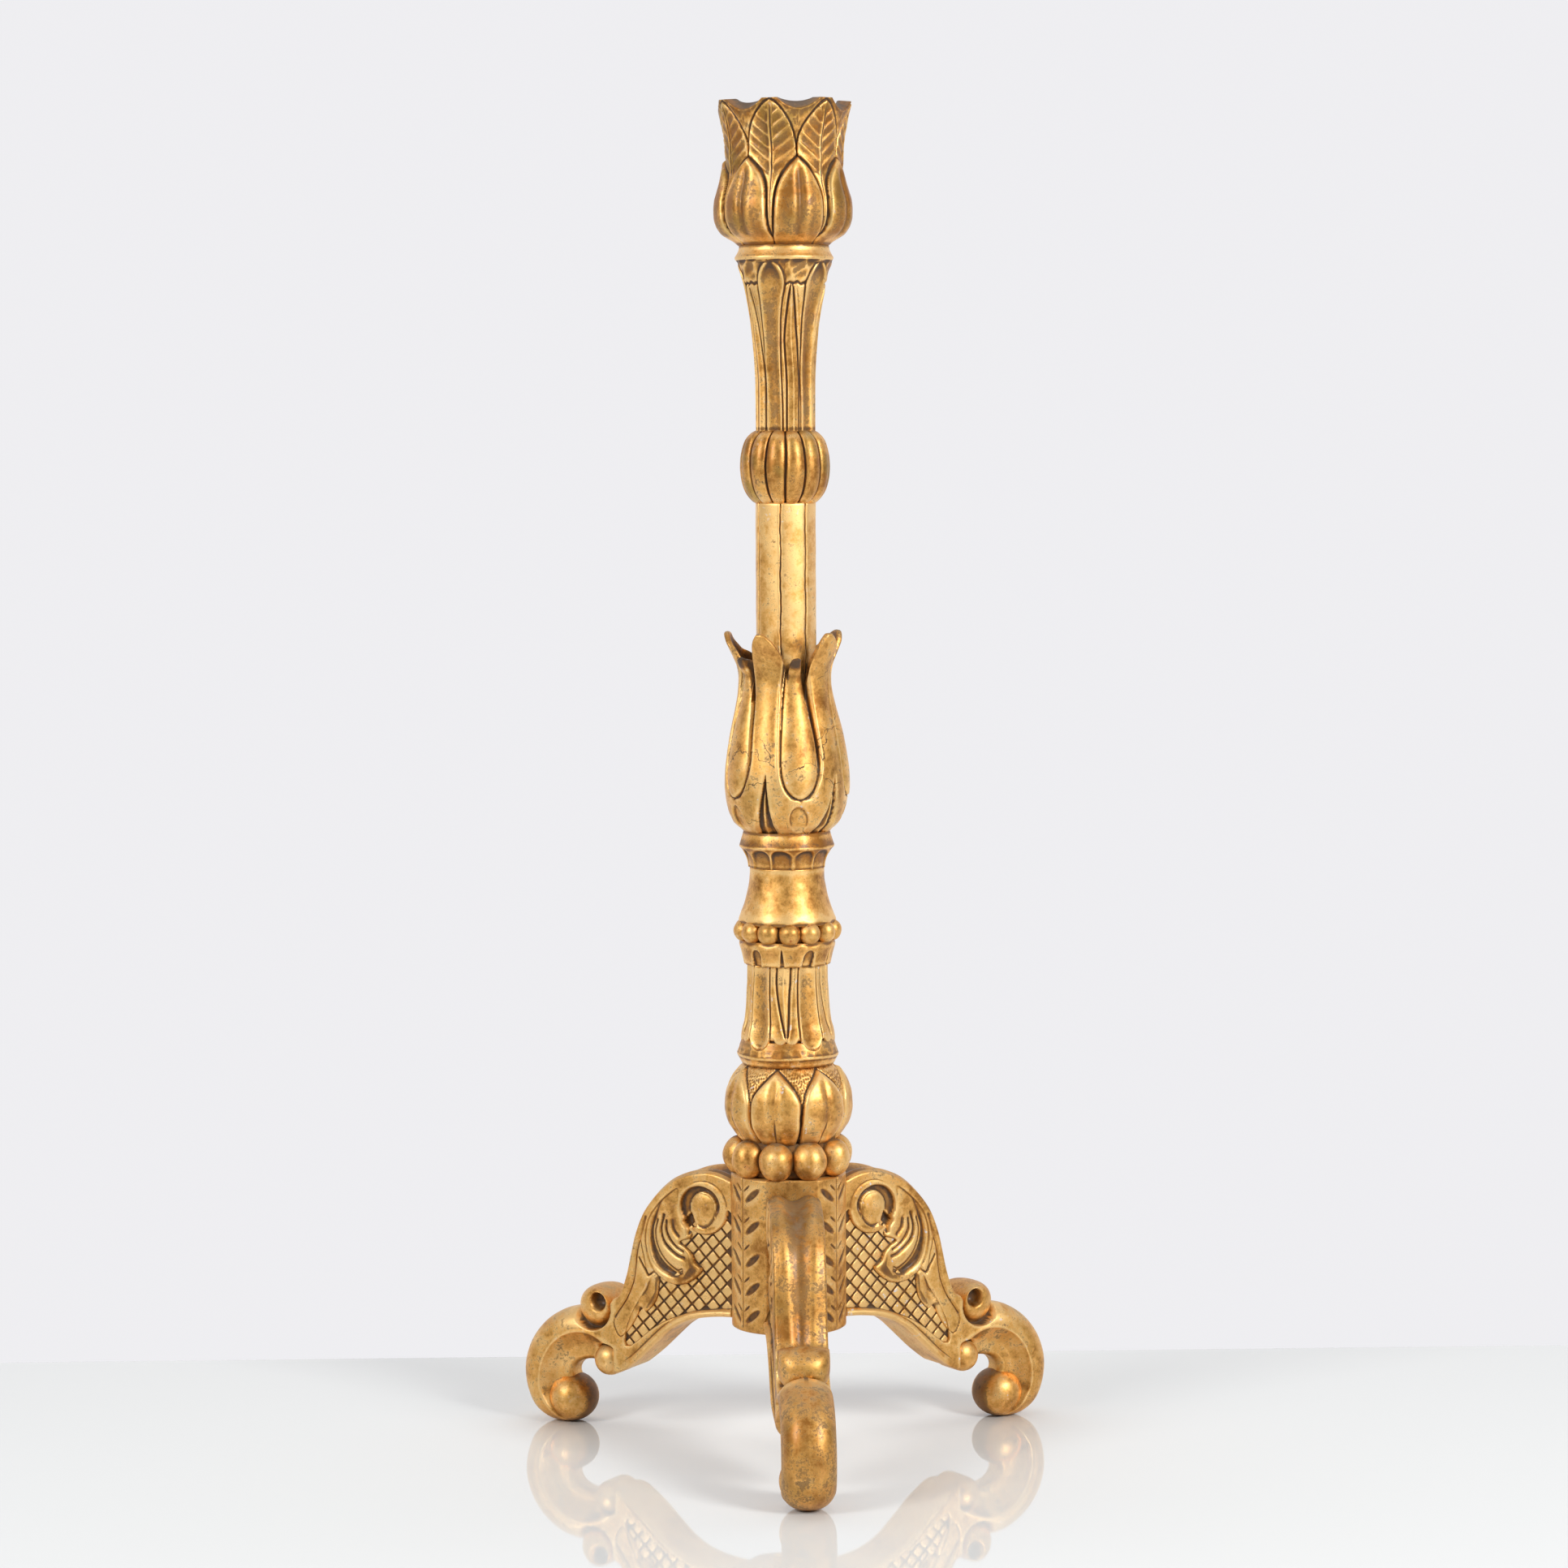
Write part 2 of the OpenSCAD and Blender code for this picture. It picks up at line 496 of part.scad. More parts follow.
module notched_band() color([0.76, 0.55, 0.23]) on_stem(z_band) difference() {
  turned(fitted(band_line, band_h, band_r));
  for (k = [0 : band_notches - 1]) {
    facing(column_turn + k * 360 / band_notches) translate([band_r + 3.2, 0, 0.94 * band_h])
      rotate([0, 12, 0]) translate([0, 0, -0.72 * band_h]) cylinder(r = 6.2, h = band_h);
    facing(column_turn + (k + 0.5) * 360 / band_notches) translate([band_r + 0.4, 0, 0.4 * band_h])
      rotate([0, 20, 0]) rotate([0, 0, 45]) cube([4.2, 4.2, 1.2 * band_h], center = true);
  }
  dowel_hole(band_h + e);
}

module waist_dowel() color([0.72, 0.55, 0.36]) on_stem(z_band - waist_dowel_down)
  dowel(waist_dowel_down + band_h + bead_collar_h + waist_dowel_up, dowel_r);

column_steps = [0, 4, 9, 16, 26, 38, 50, 62.6];

module fluted_column() color([0.78, 0.57, 0.24]) on_stem(z_column) difference() {
  n_a = column_tongues * 16;
  line = fitted(column_line, column_h, column_r);
  k = column_h / column_line[len(column_line) - 1][0];
  rows = [for (s = column_steps) [for (j = [0 : n_a - 1])
    let (x = abs(off(j * 360 / n_a, column_tongues, column_turn)) * column_tongues / 180,
      fade = s < 5 ? (x < 0.5 ? 0 : 1.2) : 1)
    [flute_at(j * 360 / n_a, column_tongues, column_turn, lookup(s * k, line), 2.6 * fade), s * k]]];
  carved(rows, n_a, 0, column_h);
  dowel_hole(dowel_in_column + end_gap);
  translate([0, 0, column_h - waist_dowel_down - end_gap]) dowel_hole(waist_dowel_down + end_gap + 1);
}

module collar_band() color([0.76, 0.55, 0.23]) on_stem(z_ring) difference() {
  turned(curve(fitted(ring_line, ring_h, ring_r), 2));
  dowel_hole(ring_h + e);
}

bulb_leaf_w = [[0, 0.9], [10, 0.98], [20, 1], [30, 0.97], [38, 0.84], [44, 0.64], [49, 0.4], [53, 0.12],
  [57, 0.02]];
bulb_steps = [0, 3, 8, 14, 20, 28, 36, 43, 48, 52, 57];

module leaf_bulb() color([0.78, 0.57, 0.24]) on_stem(z_bulb) difference() {
  n_a = bulb_leaves * 12;
  line = fitted(bulb_line, bulb_h, bulb_r);
  k = bulb_h / bulb_line[len(bulb_line) - 1][0];
  rows = [for (s = bulb_steps) [for (j = [0 : n_a - 1])
    let (x = abs(off(j * 360 / n_a, bulb_leaves, bulb_turn)) * bulb_leaves / 180,
      w = lookup(s, bulb_leaf_w), deep = s == 0 || s == 57 ? 0 : 1)
    [lookup(s * k, line) - deep * (x < w ? 2.3 * pow(x / w, 2) : 3), s * k]]];
  carved(rows, n_a, 0, bulb_h);
  dowel_hole(bulb_h + e);
}

module ball_ring() color([0.78, 0.57, 0.24]) on_stem(z_ball) difference() {
  union() {
    cylinder(r = ball_ring_r - 0.3 * ball_r, h = ball_ring_h);
    for (k = [0 : balls - 1]) facing(ball_turn + k * 360 / balls)
      translate([ball_ring_r, 0, ball_ring_h / 2]) sphere(r = min(ball_r, ball_ring_h / 2 - e));
  }
  dowel_hole(ball_ring_h + e);
}

module column_dowel() color([0.72, 0.55, 0.36]) on_stem(z_ball - dowel_in_hub)
  dowel(dowel_in_hub + ball_ring_h + bulb_h + ring_h + dowel_in_column, dowel_r);

// one laurel stem with its gouged leaves, cut into the hub's side
module laurel() {
  pitch = (hub_h - 20) / laurel_leaves;
  blade = 11;
  translate([hub_r - gouge / 2, -0.5, 6]) cube([gouge, 1, hub_h - 8]);
  for (k = [0 : laurel_leaves - 1], side = [-1, 1]) rotate([0, 0, side * 8.5])
    translate([hub_r, 0, 13 + (k + 0.4) * pitch]) rotate([side * 32, 0, 0])
      translate([blade - gouge, 0, 0]) rotate([90, 0, 0]) cylinder(r = blade, h = 3.4, center = true);
}

module hub() color([0.78, 0.57, 0.24]) on_stem(z_hub) difference() {
  edge = 2;
  union() {
    cylinder(r1 = hub_r - edge, r2 = hub_r, h = edge);
    translate([0, 0, edge]) cylinder(r = hub_r, h = hub_h - edge);
  }
  for (az = [front_turn, -120, 120]) facing(az) {
    translate([seat_r, -hub_r, -e]) cube([hub_r, 2 * hub_r, hub_h + 2 * e]);
    for (f = leg_dowel_z) translate([seat_r - leg_dowel_in - end_gap, 0, f * leg_h - z_hub])
      rotate([0, 90, 0]) cylinder(r = leg_dowel_r + fit_gap, h = leg_dowel_in + end_gap + 1);
  }
  for (az = [-laurel_turn, laurel_turn, 180]) facing(az) laurel();
  translate([0, 0, hub_h - dowel_in_hub - end_gap]) dowel_hole(dowel_in_hub + end_gap + 1);
}

// a rounded roller across the leg: half length half, radius r, with the corners eased
module roller(c, r, half, ease) translate([c[0], 0, c[1]]) rotate([90, 0, 0]) rotate_extrude()
  polygon(concat([[0, -half]], [for (t = [0 : 30 : 90]) [r - ease + ease * sin(t), -half + ease - ease * cos(t)]],
    [for (t = [90 : 30 : 180]) [r - ease + ease * sin(t), half - ease - ease * cos(t)]], [[0, half]]));

// the outline of the sunk panel, carried past the seat
function panel_pts(n) = concat(curve(leg_pts(panel_line), n), [[seat_r - 12, leg_pt([0, 102.6])[1]],
  [seat_r - 12, leg_pt([0, 196.5])[1]]]);

// a plate of the outline pts across the leg, from -half to half
module plate(pts, half) rotate([90, 0, 0]) linear_extrude(2 * half, center = true) polygon(pts);

// the crossed grooves, as a flat drawing over the bare part of the panel
module lattice() intersection() {
  polygon(leg_pts(lattice_line));
  for (q = [-45, 45], k = [-9 : 9]) translate(leg_pt([80, 110])) rotate(q)
    translate([k * lattice_pitch, 0]) square([lattice_w, 3 * leg_reach], center = true);
}

// one leg, drawn along +X from the stem's axis
module leg() {
  upper = curve(leg_pts(leg_upper), 2);
  lower = curve(leg_pts(leg_lower), 2);
  m = len(upper);
  outline = concat(upper, [for (k = [m - 1 : -1 : 0]) lower[k]]);
  inner = inset(outline, leg_edge);
  sections = [for (k = [0 : m - 1]) let (u = outline[k], v = outline[2 * m - 1 - k], iu = inner[k],
      iv = inner[2 * m - 1 - k], b = leg_half - leg_edge)
    [for (p = [[iu, -leg_half], [u, -b], [u, b], [iu, leg_half], [iv, leg_half], [v, b], [v, -b],
      [iv, -leg_half]]) [max(p[0][0], seat_r), p[1], p[0][1]]]];
  pts = [for (q = sections, p = q) p];
  sides = [for (i = [0 : m - 2], k = [0 : 7]) let (a = i * 8 + k, b = i * 8 + (k + 1) % 8)
    each [[a, b, a + 8], [b, b + 8, a + 8]]];
  ends = [for (k = [1 : 6]) each [[0, k + 1, k], let (z = 8 * (m - 1)) [z, z + k, z + k + 1]]];
  crest = [for (k = [0 : 26]) upper[k]];
  floor_half = leg_half - panel_depth;
  difference() {
    union() {
      difference() {
        polyhedron(pts, concat(sides, ends));
        for (s = [-1, 1]) {
          translate([0, s * leg_half, 0]) plate(panel_pts(2), panel_depth);
          translate([0, s * leg_half, 0]) plate(loop(leg_pts(scoop_line), 2), 1.6 * panel_depth);
          translate([0, s * floor_half, 0]) rotate([90, 0, 0])
            linear_extrude(2 * lattice_depth, center = true) lattice();
        }
        for (c = [[9, 0.55], [5.5, 1]]) rotate([90, 0, 0]) linear_extrude(2 * c[0], center = true)
          polygon(concat([for (p = crest) p + [0, 9]], [for (k = [len(crest) - 1 : -1 : 0])
            inset(crest, channel_depth * c[1])[k]]));
      }
      plate(loop(leg_pts(leaf_line), 2), leg_half - 0.4);
      plate(loop(leg_pts(strip_line), 2), leg_half - 0.9);
      roller(leg_pt(volute_c), leg_size(volute_r), leg_half, 2);
      roller(leg_pt(scroll_c), leg_size(scroll_r), leg_half + 0.6, 5);
      roller(leg_pt(toe_c), leg_size(toe_ball_r), leg_half + 0.8, 6);
    }
    for (s = [-1, 1]) translate([0, s * (leg_half + 0.5), 0]) difference() {
      roller(leg_pt(volute_c), leg_size(volute_ring_r), 3, 1);
      roller(leg_pt(volute_c), leg_size(volute_eye_r), 4, 1.6);
    }
    for (f = leg_dowel_z) translate([seat_r - e, 0, f * leg_h])
      rotate([0, 90, 0]) cylinder(r = leg_dowel_r + fit_gap, h = leg_dowel_in + end_gap);
  }
}

module front_leg() color([0.76, 0.56, 0.25]) on_stem(0) facing(front_turn) leg();

module left_leg() color([0.76, 0.56, 0.25]) on_stem(0) facing(-120) leg();

module right_leg() color([0.76, 0.56, 0.25]) on_stem(0) facing(120) leg();

module leg_dowels() color([0.72, 0.55, 0.36]) on_stem(0)
  for (az = [front_turn, -120, 120], f = leg_dowel_z) facing(az)
    translate([seat_r - leg_dowel_in, 0, f * leg_h]) rotate([0, 90, 0])
      dowel(2 * leg_dowel_in, leg_dowel_r);

candle_cup();
cup_dowel();
neck();
knop();
shaft();
tulip_calyx();
calyx_dowel();
spool_collar();
vase_waist();
bead_collar();
notched_band();
waist_dowel();
fluted_column();
collar_band();
leaf_bulb();
ball_ring();
column_dowel();
hub();
front_leg();
left_leg();
right_leg();
leg_dowels();
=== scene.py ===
"""A standing candle stand of carved and gilded wood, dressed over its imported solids.

Sizes in the sections are in millimetres and degrees. Directions round the stem are counted from the
front (-Y) towards the right (+X). Meshes are written in metres.
"""

import bpy
import numpy as np
from mathutils import Matrix, Vector


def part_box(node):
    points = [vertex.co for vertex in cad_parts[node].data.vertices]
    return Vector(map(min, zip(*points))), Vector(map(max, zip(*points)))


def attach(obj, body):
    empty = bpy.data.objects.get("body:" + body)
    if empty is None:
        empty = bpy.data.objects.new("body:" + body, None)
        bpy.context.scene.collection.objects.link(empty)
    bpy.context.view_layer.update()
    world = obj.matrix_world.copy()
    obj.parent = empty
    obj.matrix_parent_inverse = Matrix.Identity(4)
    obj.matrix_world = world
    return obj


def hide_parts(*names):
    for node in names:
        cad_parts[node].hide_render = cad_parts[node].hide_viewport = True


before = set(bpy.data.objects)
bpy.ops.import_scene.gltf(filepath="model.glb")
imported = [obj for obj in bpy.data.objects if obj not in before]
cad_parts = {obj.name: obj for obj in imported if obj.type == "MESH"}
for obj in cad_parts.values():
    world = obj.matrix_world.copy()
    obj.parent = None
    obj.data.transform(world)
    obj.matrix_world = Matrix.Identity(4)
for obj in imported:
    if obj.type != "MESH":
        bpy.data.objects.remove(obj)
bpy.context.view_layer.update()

# ---------------------------------------------------------------------------------------------
# Hub. A turned block of beech that the three legs seat on, flat where each leg meets it. Between
# the legs a laurel spray is gouged into the gilding ground with a few strokes of a veiner.

# y of the stem's axis in mm, from the middle of a plain turned ring
stem_at = 500 * sum(corner[1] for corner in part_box("collar_band"))


def heights(node_name, below=0.0, above=0.0):
    """Lowest and highest height of a CAD node in mm, to a tenth, the one let down by below and the
    other raised by above, so that a piece laps over its neighbours."""
    low, high = (round(1000 * corner[2], 1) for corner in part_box(node_name))
    return low - below, high + above


def ease(low, high, x):
    """0 below low, 1 above high, and the cubic 3t^2 - 2t^3 between them."""
    t = np.clip((x - low) / (high - low), 0, 1)
    return t * t * (3 - 2 * t)


def hill(x, width):
    """A rounded hill of height 1 at x = 0: e to the power of minus (x / width) squared."""
    return np.exp(-(x / width) ** 2)


def faired(table, x):
    """A curve through a table's points: between two points a cubic whose end slopes are the
    harmonic means of the neighbouring chords, so that it never swings past a point."""
    p, q = np.array(table, float).T
    chord = np.diff(q) / np.diff(p)
    level = chord[1:] * chord[:-1] <= 0
    mean = 2 * chord[1:] * chord[:-1] / np.where(level, 1, chord[1:] + chord[:-1])
    slope = np.concatenate([chord[:1], np.where(level, 0, mean), chord[-1:]])
    i = np.clip(np.searchsorted(p, x) - 1, 0, len(p) - 2)
    h = p[i + 1] - p[i]
    t = np.clip((x - p[i]) / h, 0, 1)
    return ((1 + 2 * t) * (1 - t) ** 2 * q[i] + t * (1 - t) ** 2 * h * slope[i]
            + t * t * (3 - 2 * t) * q[i + 1] - t * t * (1 - t) * h * slope[i + 1])


def beside(az, count, first):
    """Angle from the nearest of count even directions, the first of which is at first."""
    step = 360 / count
    return (az - first + step / 2) % step - step / 2


def arc(az, count, first, radius):
    """Distance in mm, along a circle of a radius, from the nearest of count even directions."""
    return np.radians(beside(az, count, first)) * radius


def softened(grid, passes, wrap=True):
    """A grid after each number has been averaged with its neighbours, 1-2-1 along both sides."""
    for _ in range(passes):
        if wrap:
            grid = (np.roll(grid, 1, 1) + 2 * grid + np.roll(grid, -1, 1)) / 4
        else:
            grid = np.concatenate([grid[:, :1], (grid[:, :-2] + 2 * grid[:, 1:-1] + grid[:, 2:]) / 4,
                                   grid[:, -1:]], 1)
        grid = np.concatenate([grid[:1], (grid[:-2] + 2 * grid[1:-1] + grid[2:]) / 4, grid[-1:]])
    return grid


def hollows(relief, wrap=True, wide=0.55, little=10, lot=60):
    """How far each point stands above or below its surroundings, from -1 in a groove to 1 on an
    edge: 1.3 times the relief less the relief softened a little, plus a share, wide, of the
    relief less the relief softened a lot. little and lot are the passes of the two softenings."""
    near, far = softened(relief, little, wrap), softened(relief, lot, wrap)
    return np.clip(1.3 * (relief - near) + wide * (relief - far), -1, 1)


def closed_skin(name, grid, carving, parts=()):
    """A closed mesh from a grid of points in mm: rows run up the piece, columns run round it and
    join up, and each end is closed by a fan to its own middle. carving goes to the mesh as an
    attribute. parts adds whole grids of the same kind to the same mesh."""
    verts, quads, fans, marks, start = [], [], [], [], 0
    for points, cut in ((grid, carving),) + tuple(parts):
        rows, cols = points.shape[:2]
        k = np.arange(rows * cols).reshape(rows, cols) + start
        right = np.roll(k, -1, 1)
        quads.append(np.stack([k[:-1], right[:-1], right[1:], k[1:]], -1).reshape(-1, 4))
        low, high = start + rows * cols, start + rows * cols + 1
        fans.append(np.stack([right[0], k[0], np.full(cols, low)], -1))
        fans.append(np.stack([k[-1], right[-1], np.full(cols, high)], -1))
        verts += [points.reshape(-1, 3), points[0].mean(0)[None], points[-1].mean(0)[None]]
        marks += [cut.reshape(-1), [cut[0].mean()], [cut[-1].mean()]]
        start = high + 1
    quads, fans = np.concatenate(quads), np.concatenate(fans)
    mesh = bpy.data.meshes.new(name)
    mesh.vertices.add(start)
    mesh.vertices.foreach_set("co", np.concatenate(verts).ravel() * 0.001)
    mesh.loops.add(4 * len(quads) + 3 * len(fans))
    mesh.loops.foreach_set("vertex_index", np.concatenate([quads.ravel(), fans.ravel()]))
    mesh.polygons.add(len(quads) + len(fans))
    mesh.polygons.foreach_set("loop_start", np.concatenate(
        [4 * np.arange(len(quads)), 4 * len(quads) + 3 * np.arange(len(fans))]))
    mesh.polygons.foreach_set("use_smooth", np.ones(len(quads) + len(fans), bool))
    mesh.attributes.new("carving", "FLOAT", "POINT").data.foreach_set("value", np.concatenate(marks))
    mesh.update()
    mesh.validate()
    piece = bpy.data.objects.new(name, mesh)
    bpy.context.scene.collection.objects.link(piece)
    return piece


def about_stem(az, radius, height):
    """Points at a radius from the stem's axis: x is the radius times the sine of the direction az,
    and y lies in front of the axis by the radius times its cosine."""
    turn = np.radians(az)
    return np.stack([radius * np.sin(turn), stem_at - radius * np.cos(turn), height + 0 * radius], -1)


def round_skin(name, az, radius, height, relief):
    """A closed skin round the stem: the point in row i, column j lies at radius[i, j] from the
    axis, in direction az[j], at height[i]. The relief gives its carving."""
    return closed_skin(name, about_stem(az, radius, height), hollows(relief))


def gilding(name, shift, grime, bole, chips, bright, dust=0.3, green=0.0, cracks=0.0):
    """Water gilding over red bole and white gesso: clouded gold, rubbed bright on what stands
    proud, with brown stain and umber grime in the hollows, fine specks, dust on what faces up,
    chips down to the gesso along the edges, and a thin varnish over it all. shift moves the
    clouds, so that no two pieces look alike, and the other numbers are shares from 0 up."""
    paint = bpy.data.materials.new(name)
    paint.use_nodes = True
    tree = paint.node_tree
    tree.nodes.clear()

    def node(kind, out=0, settings=(), **sockets):
        """A node's output. A socket is named, or numbered after an underscore, and gets a link
        from another output or a plain value."""
        made = tree.nodes.new(kind)
        for key, value in settings:
            setattr(made, key, value)
        for key, value in sockets.items():
            socket = made.inputs[int(key[1:]) if key[0] == "_" else key.replace("_", " ")]
            if isinstance(value, bpy.types.NodeSocket):
                tree.links.new(value, socket)
            else:
                socket.default_value = value
        return made if out is None else made.outputs[out]

    def reckoned(operation, first, second):
        """One step of arithmetic between two outputs or numbers."""
        return node("ShaderNodeMath", 0, [("operation", operation)], _0=first, _1=second)

    def total(*terms):
        """The sum of terms, each an output or number, or a pair of one and its weight."""
        result = None
        for term in terms:
            if isinstance(term, tuple):
                term = reckoned("MULTIPLY", *term)
            result = term if result is None else reckoned("ADD", result, term)
        return result

    def product(first, *others):
        """All the factors multiplied together."""
        for other in others:
            first = reckoned("MULTIPLY", first, other)
        return first

    def mixed(share, under, over):
        """The colour under, less a share of it, plus that share of the colour over."""
        return node("ShaderNodeMix", 2, [("data_type", "RGBA")], _0=share, _6=under, _7=over)

    def spread(value, low, high):
        """0 below low, 1 above high, and the cubic 3t^2 - 2t^3 between them."""
        smooth = [("interpolation_type", "SMOOTHSTEP")]
        return node("ShaderNodeMapRange", 0, smooth, _0=value, _1=low, _2=high)

    place = node("ShaderNodeMapping", Vector=node("ShaderNodeTexCoord", "Object"),
                 Location=(shift, 0.37 * shift, 0))

    def noise(scale, detail=4.0, rough=0.6):
        """Cloudy noise near 0.5, with scale clouds to the metre."""
        return node("ShaderNodeTexNoise", "Fac", Vector=place, Scale=scale, Detail=detail, Roughness=rough)

    carving = node("ShaderNodeAttribute", "Fac", [("attribute_name", "carving")])
    cloud, patch, grain, speck = noise(30), noise(150, 5, 0.65), noise(520), noise(1250, 2, 0.5)
    up = node("ShaderNodeSeparateXYZ", "Z", Vector=node("ShaderNodeNewGeometry", "Normal"))

    # the gold leaf
    tone = total((cloud, 0.9), (patch, 0.65), (grain, 0.3), (carving, 0.30), 0.35 * (bright - 0.5))
    colour = mixed(spread(tone, 0.72, 1.00), (0.40, 0.165, 0.030, 1), (0.82, 0.44, 0.115, 1))
    colour = mixed(spread(tone, 0.93, 1.15), colour, (0.96, 0.62, 0.245, 1))
    if green:
        tint = product(spread(noise(34, 2), 0.47, 0.62), green)
        colour = mixed(tint, colour, (0.27, 0.20, 0.045, 1))
    worn = product(spread(noise(75, 3), 0.62, 0.70), spread(carving, -0.3, 0.3), bole)
    colour = mixed(worn, colour, (0.52, 0.115, 0.016, 1))
    # brown stain and umber grime
    wear = total((patch, 0.55), (grain, 0.45), (cloud, 0.35), (carving, -0.42))
    stain = product(spread(wear, 0.765 - 0.13 * grime, 0.895 - 0.13 * grime), 0.72)
    colour = mixed(stain, colour, (0.165, 0.073, 0.022, 1))
    deep = total((patch, 0.75), (grain, 0.5), (carving, -0.52))
    dark = spread(deep, 0.92 - 0.14 * grime, 1.19 - 0.14 * grime)
    flecks = product(spread(speck, 0.60, 0.67), spread(patch, 0.47, 0.60), 0.35 + 0.6 * grime)
    if cracks:
        stray = node("ShaderNodeVectorMath", 0, [("operation", "SCALE")], Scale=0.012,
                     _0=node("ShaderNodeTexNoise", "Color", Vector=place, Scale=110.0, Detail=3.0))
        bent_place = node("ShaderNodeVectorMath", 0, [("operation", "ADD")], _0=place, _1=stray)
        edge = node("ShaderNodeTexVoronoi", "Distance", [("feature", "DISTANCE_TO_EDGE")],
                    Vector=bent_place, Scale=27.0, Randomness=1.0)
        crack = product(reckoned("LESS_THAN", edge, 0.006), spread(noise(22, 1), 0.545, 0.57), cracks)
        flecks = reckoned("MAXIMUM", flecks, crack)
    dark = reckoned("MAXIMUM", dark, flecks)
    colour = mixed(dark, colour, (0.085, 0.044, 0.020, 1))
    # dust on what faces up
    lies = product(spread(total(up, (carving, -0.25)), 0.30, 0.95),
                   spread(total(patch, cloud), 0.80, 1.15), dust)
    colour = mixed(lies, colour, (0.215, 0.165, 0.105, 1))
    # chips down to the gesso
    nick = product(spread(noise(230, 2), 0.645, 0.67), spread(carving, 0.0, 0.3),
                   spread(noise(42, 1), 0.50, 0.58), chips)
    colour = mixed(nick, colour, (0.74, 0.69, 0.67, 1))
    # what lies on the gold takes away its shine
    dull = reckoned("MINIMUM", total((stain, 0.55), dark, (lies, 0.8), nick), 1.0)
    bumps = node("ShaderNodeBump", Strength=0.5, Distance=0.0005,
                 Height=total((cloud, 0.5), (patch, 0.6), (grain, 0.08)))
    finish = node("ShaderNodeBsdfPrincipled", Base_Color=colour, Metallic=total(0.97, (dull, -0.85)),
                  Roughness=total(0.40, (patch, 0.2), (dull, 0.26)), Specular_IOR_Level=0.25,
                  Coat_Weight=0.32, Coat_Roughness=0.28, Normal=bumps)
    node("ShaderNodeOutputMaterial", None, Surface=finish)
    return paint


def seat(piece, node_name, paint):
    """Gives a piece its material and puts it in its node's place."""
    piece.data.materials.append(paint)
    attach(piece, "root")
    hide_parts(node_name)


hub_low, hub_top = heights("hub")
hub_r, leg_half, round_off = 42.8, 19.5, 1.6
# directions of the front, left and right legs
leg_turns = (2.0, -120.0, 120.0)
az = np.arange(0, 360, 0.75)
z = np.linspace(hub_low, hub_top, 118)[:, None]
relief = 0 * az + 0 * z
# the spray's long and short leaves: heights, distance from the stalk, half length, half width, depth
spray = (((104.5, 125.0, 146.4, 171.0, 195.0), 9.8, 10.0, 3.2, 1.9),
         ((110.0, 131.7, 156.0, 176.4, 200.0), 4.4, 4.8, 1.0, 1.4))
for stem_turn in (-55.0, 55.0, 180.0):
    mm = arc(az, 1, stem_turn, hub_r)
    relief = relief - 1.1 * hill(mm, 0.55) * ease(94, 97, z)
    for leaf_heights, away, length, wide, cut in spray:
        for height in leaf_heights:
            s, t = np.abs(mm) - away, z - height
            lengthwise, sideways = 0.79 * s + 0.61 * t, -0.61 * s + 0.79 * t
            shape = 1 - (lengthwise / length) ** 2 - (sideways / wide) ** 2
            relief = relief - cut * ease(0, 0.8, shape)
# the flats that the legs seat on, and the rounded lower edge
flats = np.full_like(az, 1e9)
for turn in leg_turns:
    off = beside(az, 1, turn)
    flat = np.sqrt(hub_r ** 2 - leg_half ** 2) / np.maximum(np.cos(np.radians(off)), 0.05)
    flats = np.minimum(flats, np.where(np.abs(off) < 30, flat, 1e9))
edge = round_off * (1 - np.sqrt(1 - np.clip(1 - (z - hub_low) / round_off, 0, 1) ** 2))
radius = np.minimum(hub_r - 0.05 + relief, flats) - edge
hub = round_skin("hub_block", az, radius, z, 0.45 * relief)
seat(hub, "hub", gilding("hub gilding", 0.11, grime=0.62, bole=0.1, chips=0.2, bright=0.55))

# ---------------------------------------------------------------------------------------------
# Legs. Each is sawn from a plank on a scrolled outline, with its side faces carved in relief: a
# volute with a domed eye, an acanthus leaf, a strap leaf below it, and a panel of crossed cuts.
# Small and large scrolls go right across. Two dowels and glue hold each to a flat of the hub.

# centres of the ball scroll, the ball at the knee, the small scroll and the pocket behind it
ball_at, knee_at, scroll_at, pocket_at = (188.2, 18.9), (149.8, 53.2), (161.2, 92.9), (150.0, 102.0)
# where the legs stop at the hub's flats, and how much lower the top of the front leg is
seat_at, front_drop = 38.15, 7.5
# the outline, row by row from the hub to the toe: a point of the upper edge and one of the lower
leg_rows = np.array([
    [38.1, 202, 38.1, 96.8], [48, 205.5, 48, 96.3], [57, 207, 57, 95.3], [67, 206.3, 66, 93.8],
    [80, 202.7, 75, 91.2], [93, 196.2, 84, 87.2], [106, 184.5, 93, 81.4], [116.5, 170.5, 101, 74.3],
    [123.7, 153.5, 109, 66.8], [128, 137, 117, 59.4], [132, 121, 125, 52.9], [137.5, 107, 133, 47.4],
    [143, 101.5, 140, 45.3], [150.5, 97.5, 146, 45], [160, 90.5, 151.5, 46], [170.5, 90.3, 157, 48],
    [182, 90.2, 162, 50.3], [195, 86.4, 168.5, 50.8], [209.5, 76.8, 175, 49.4], [220.9, 62.3, 180.6, 46.6],
    [226.8, 44.5, 184, 42], [225.6, 26.5, 184, 37.4], [218.4, 10.5, 179.5, 31.5], [206, 1.8, 175.5, 22],
    [193, 0, 176, 12], [184, 1.6, 179.5, 6]])


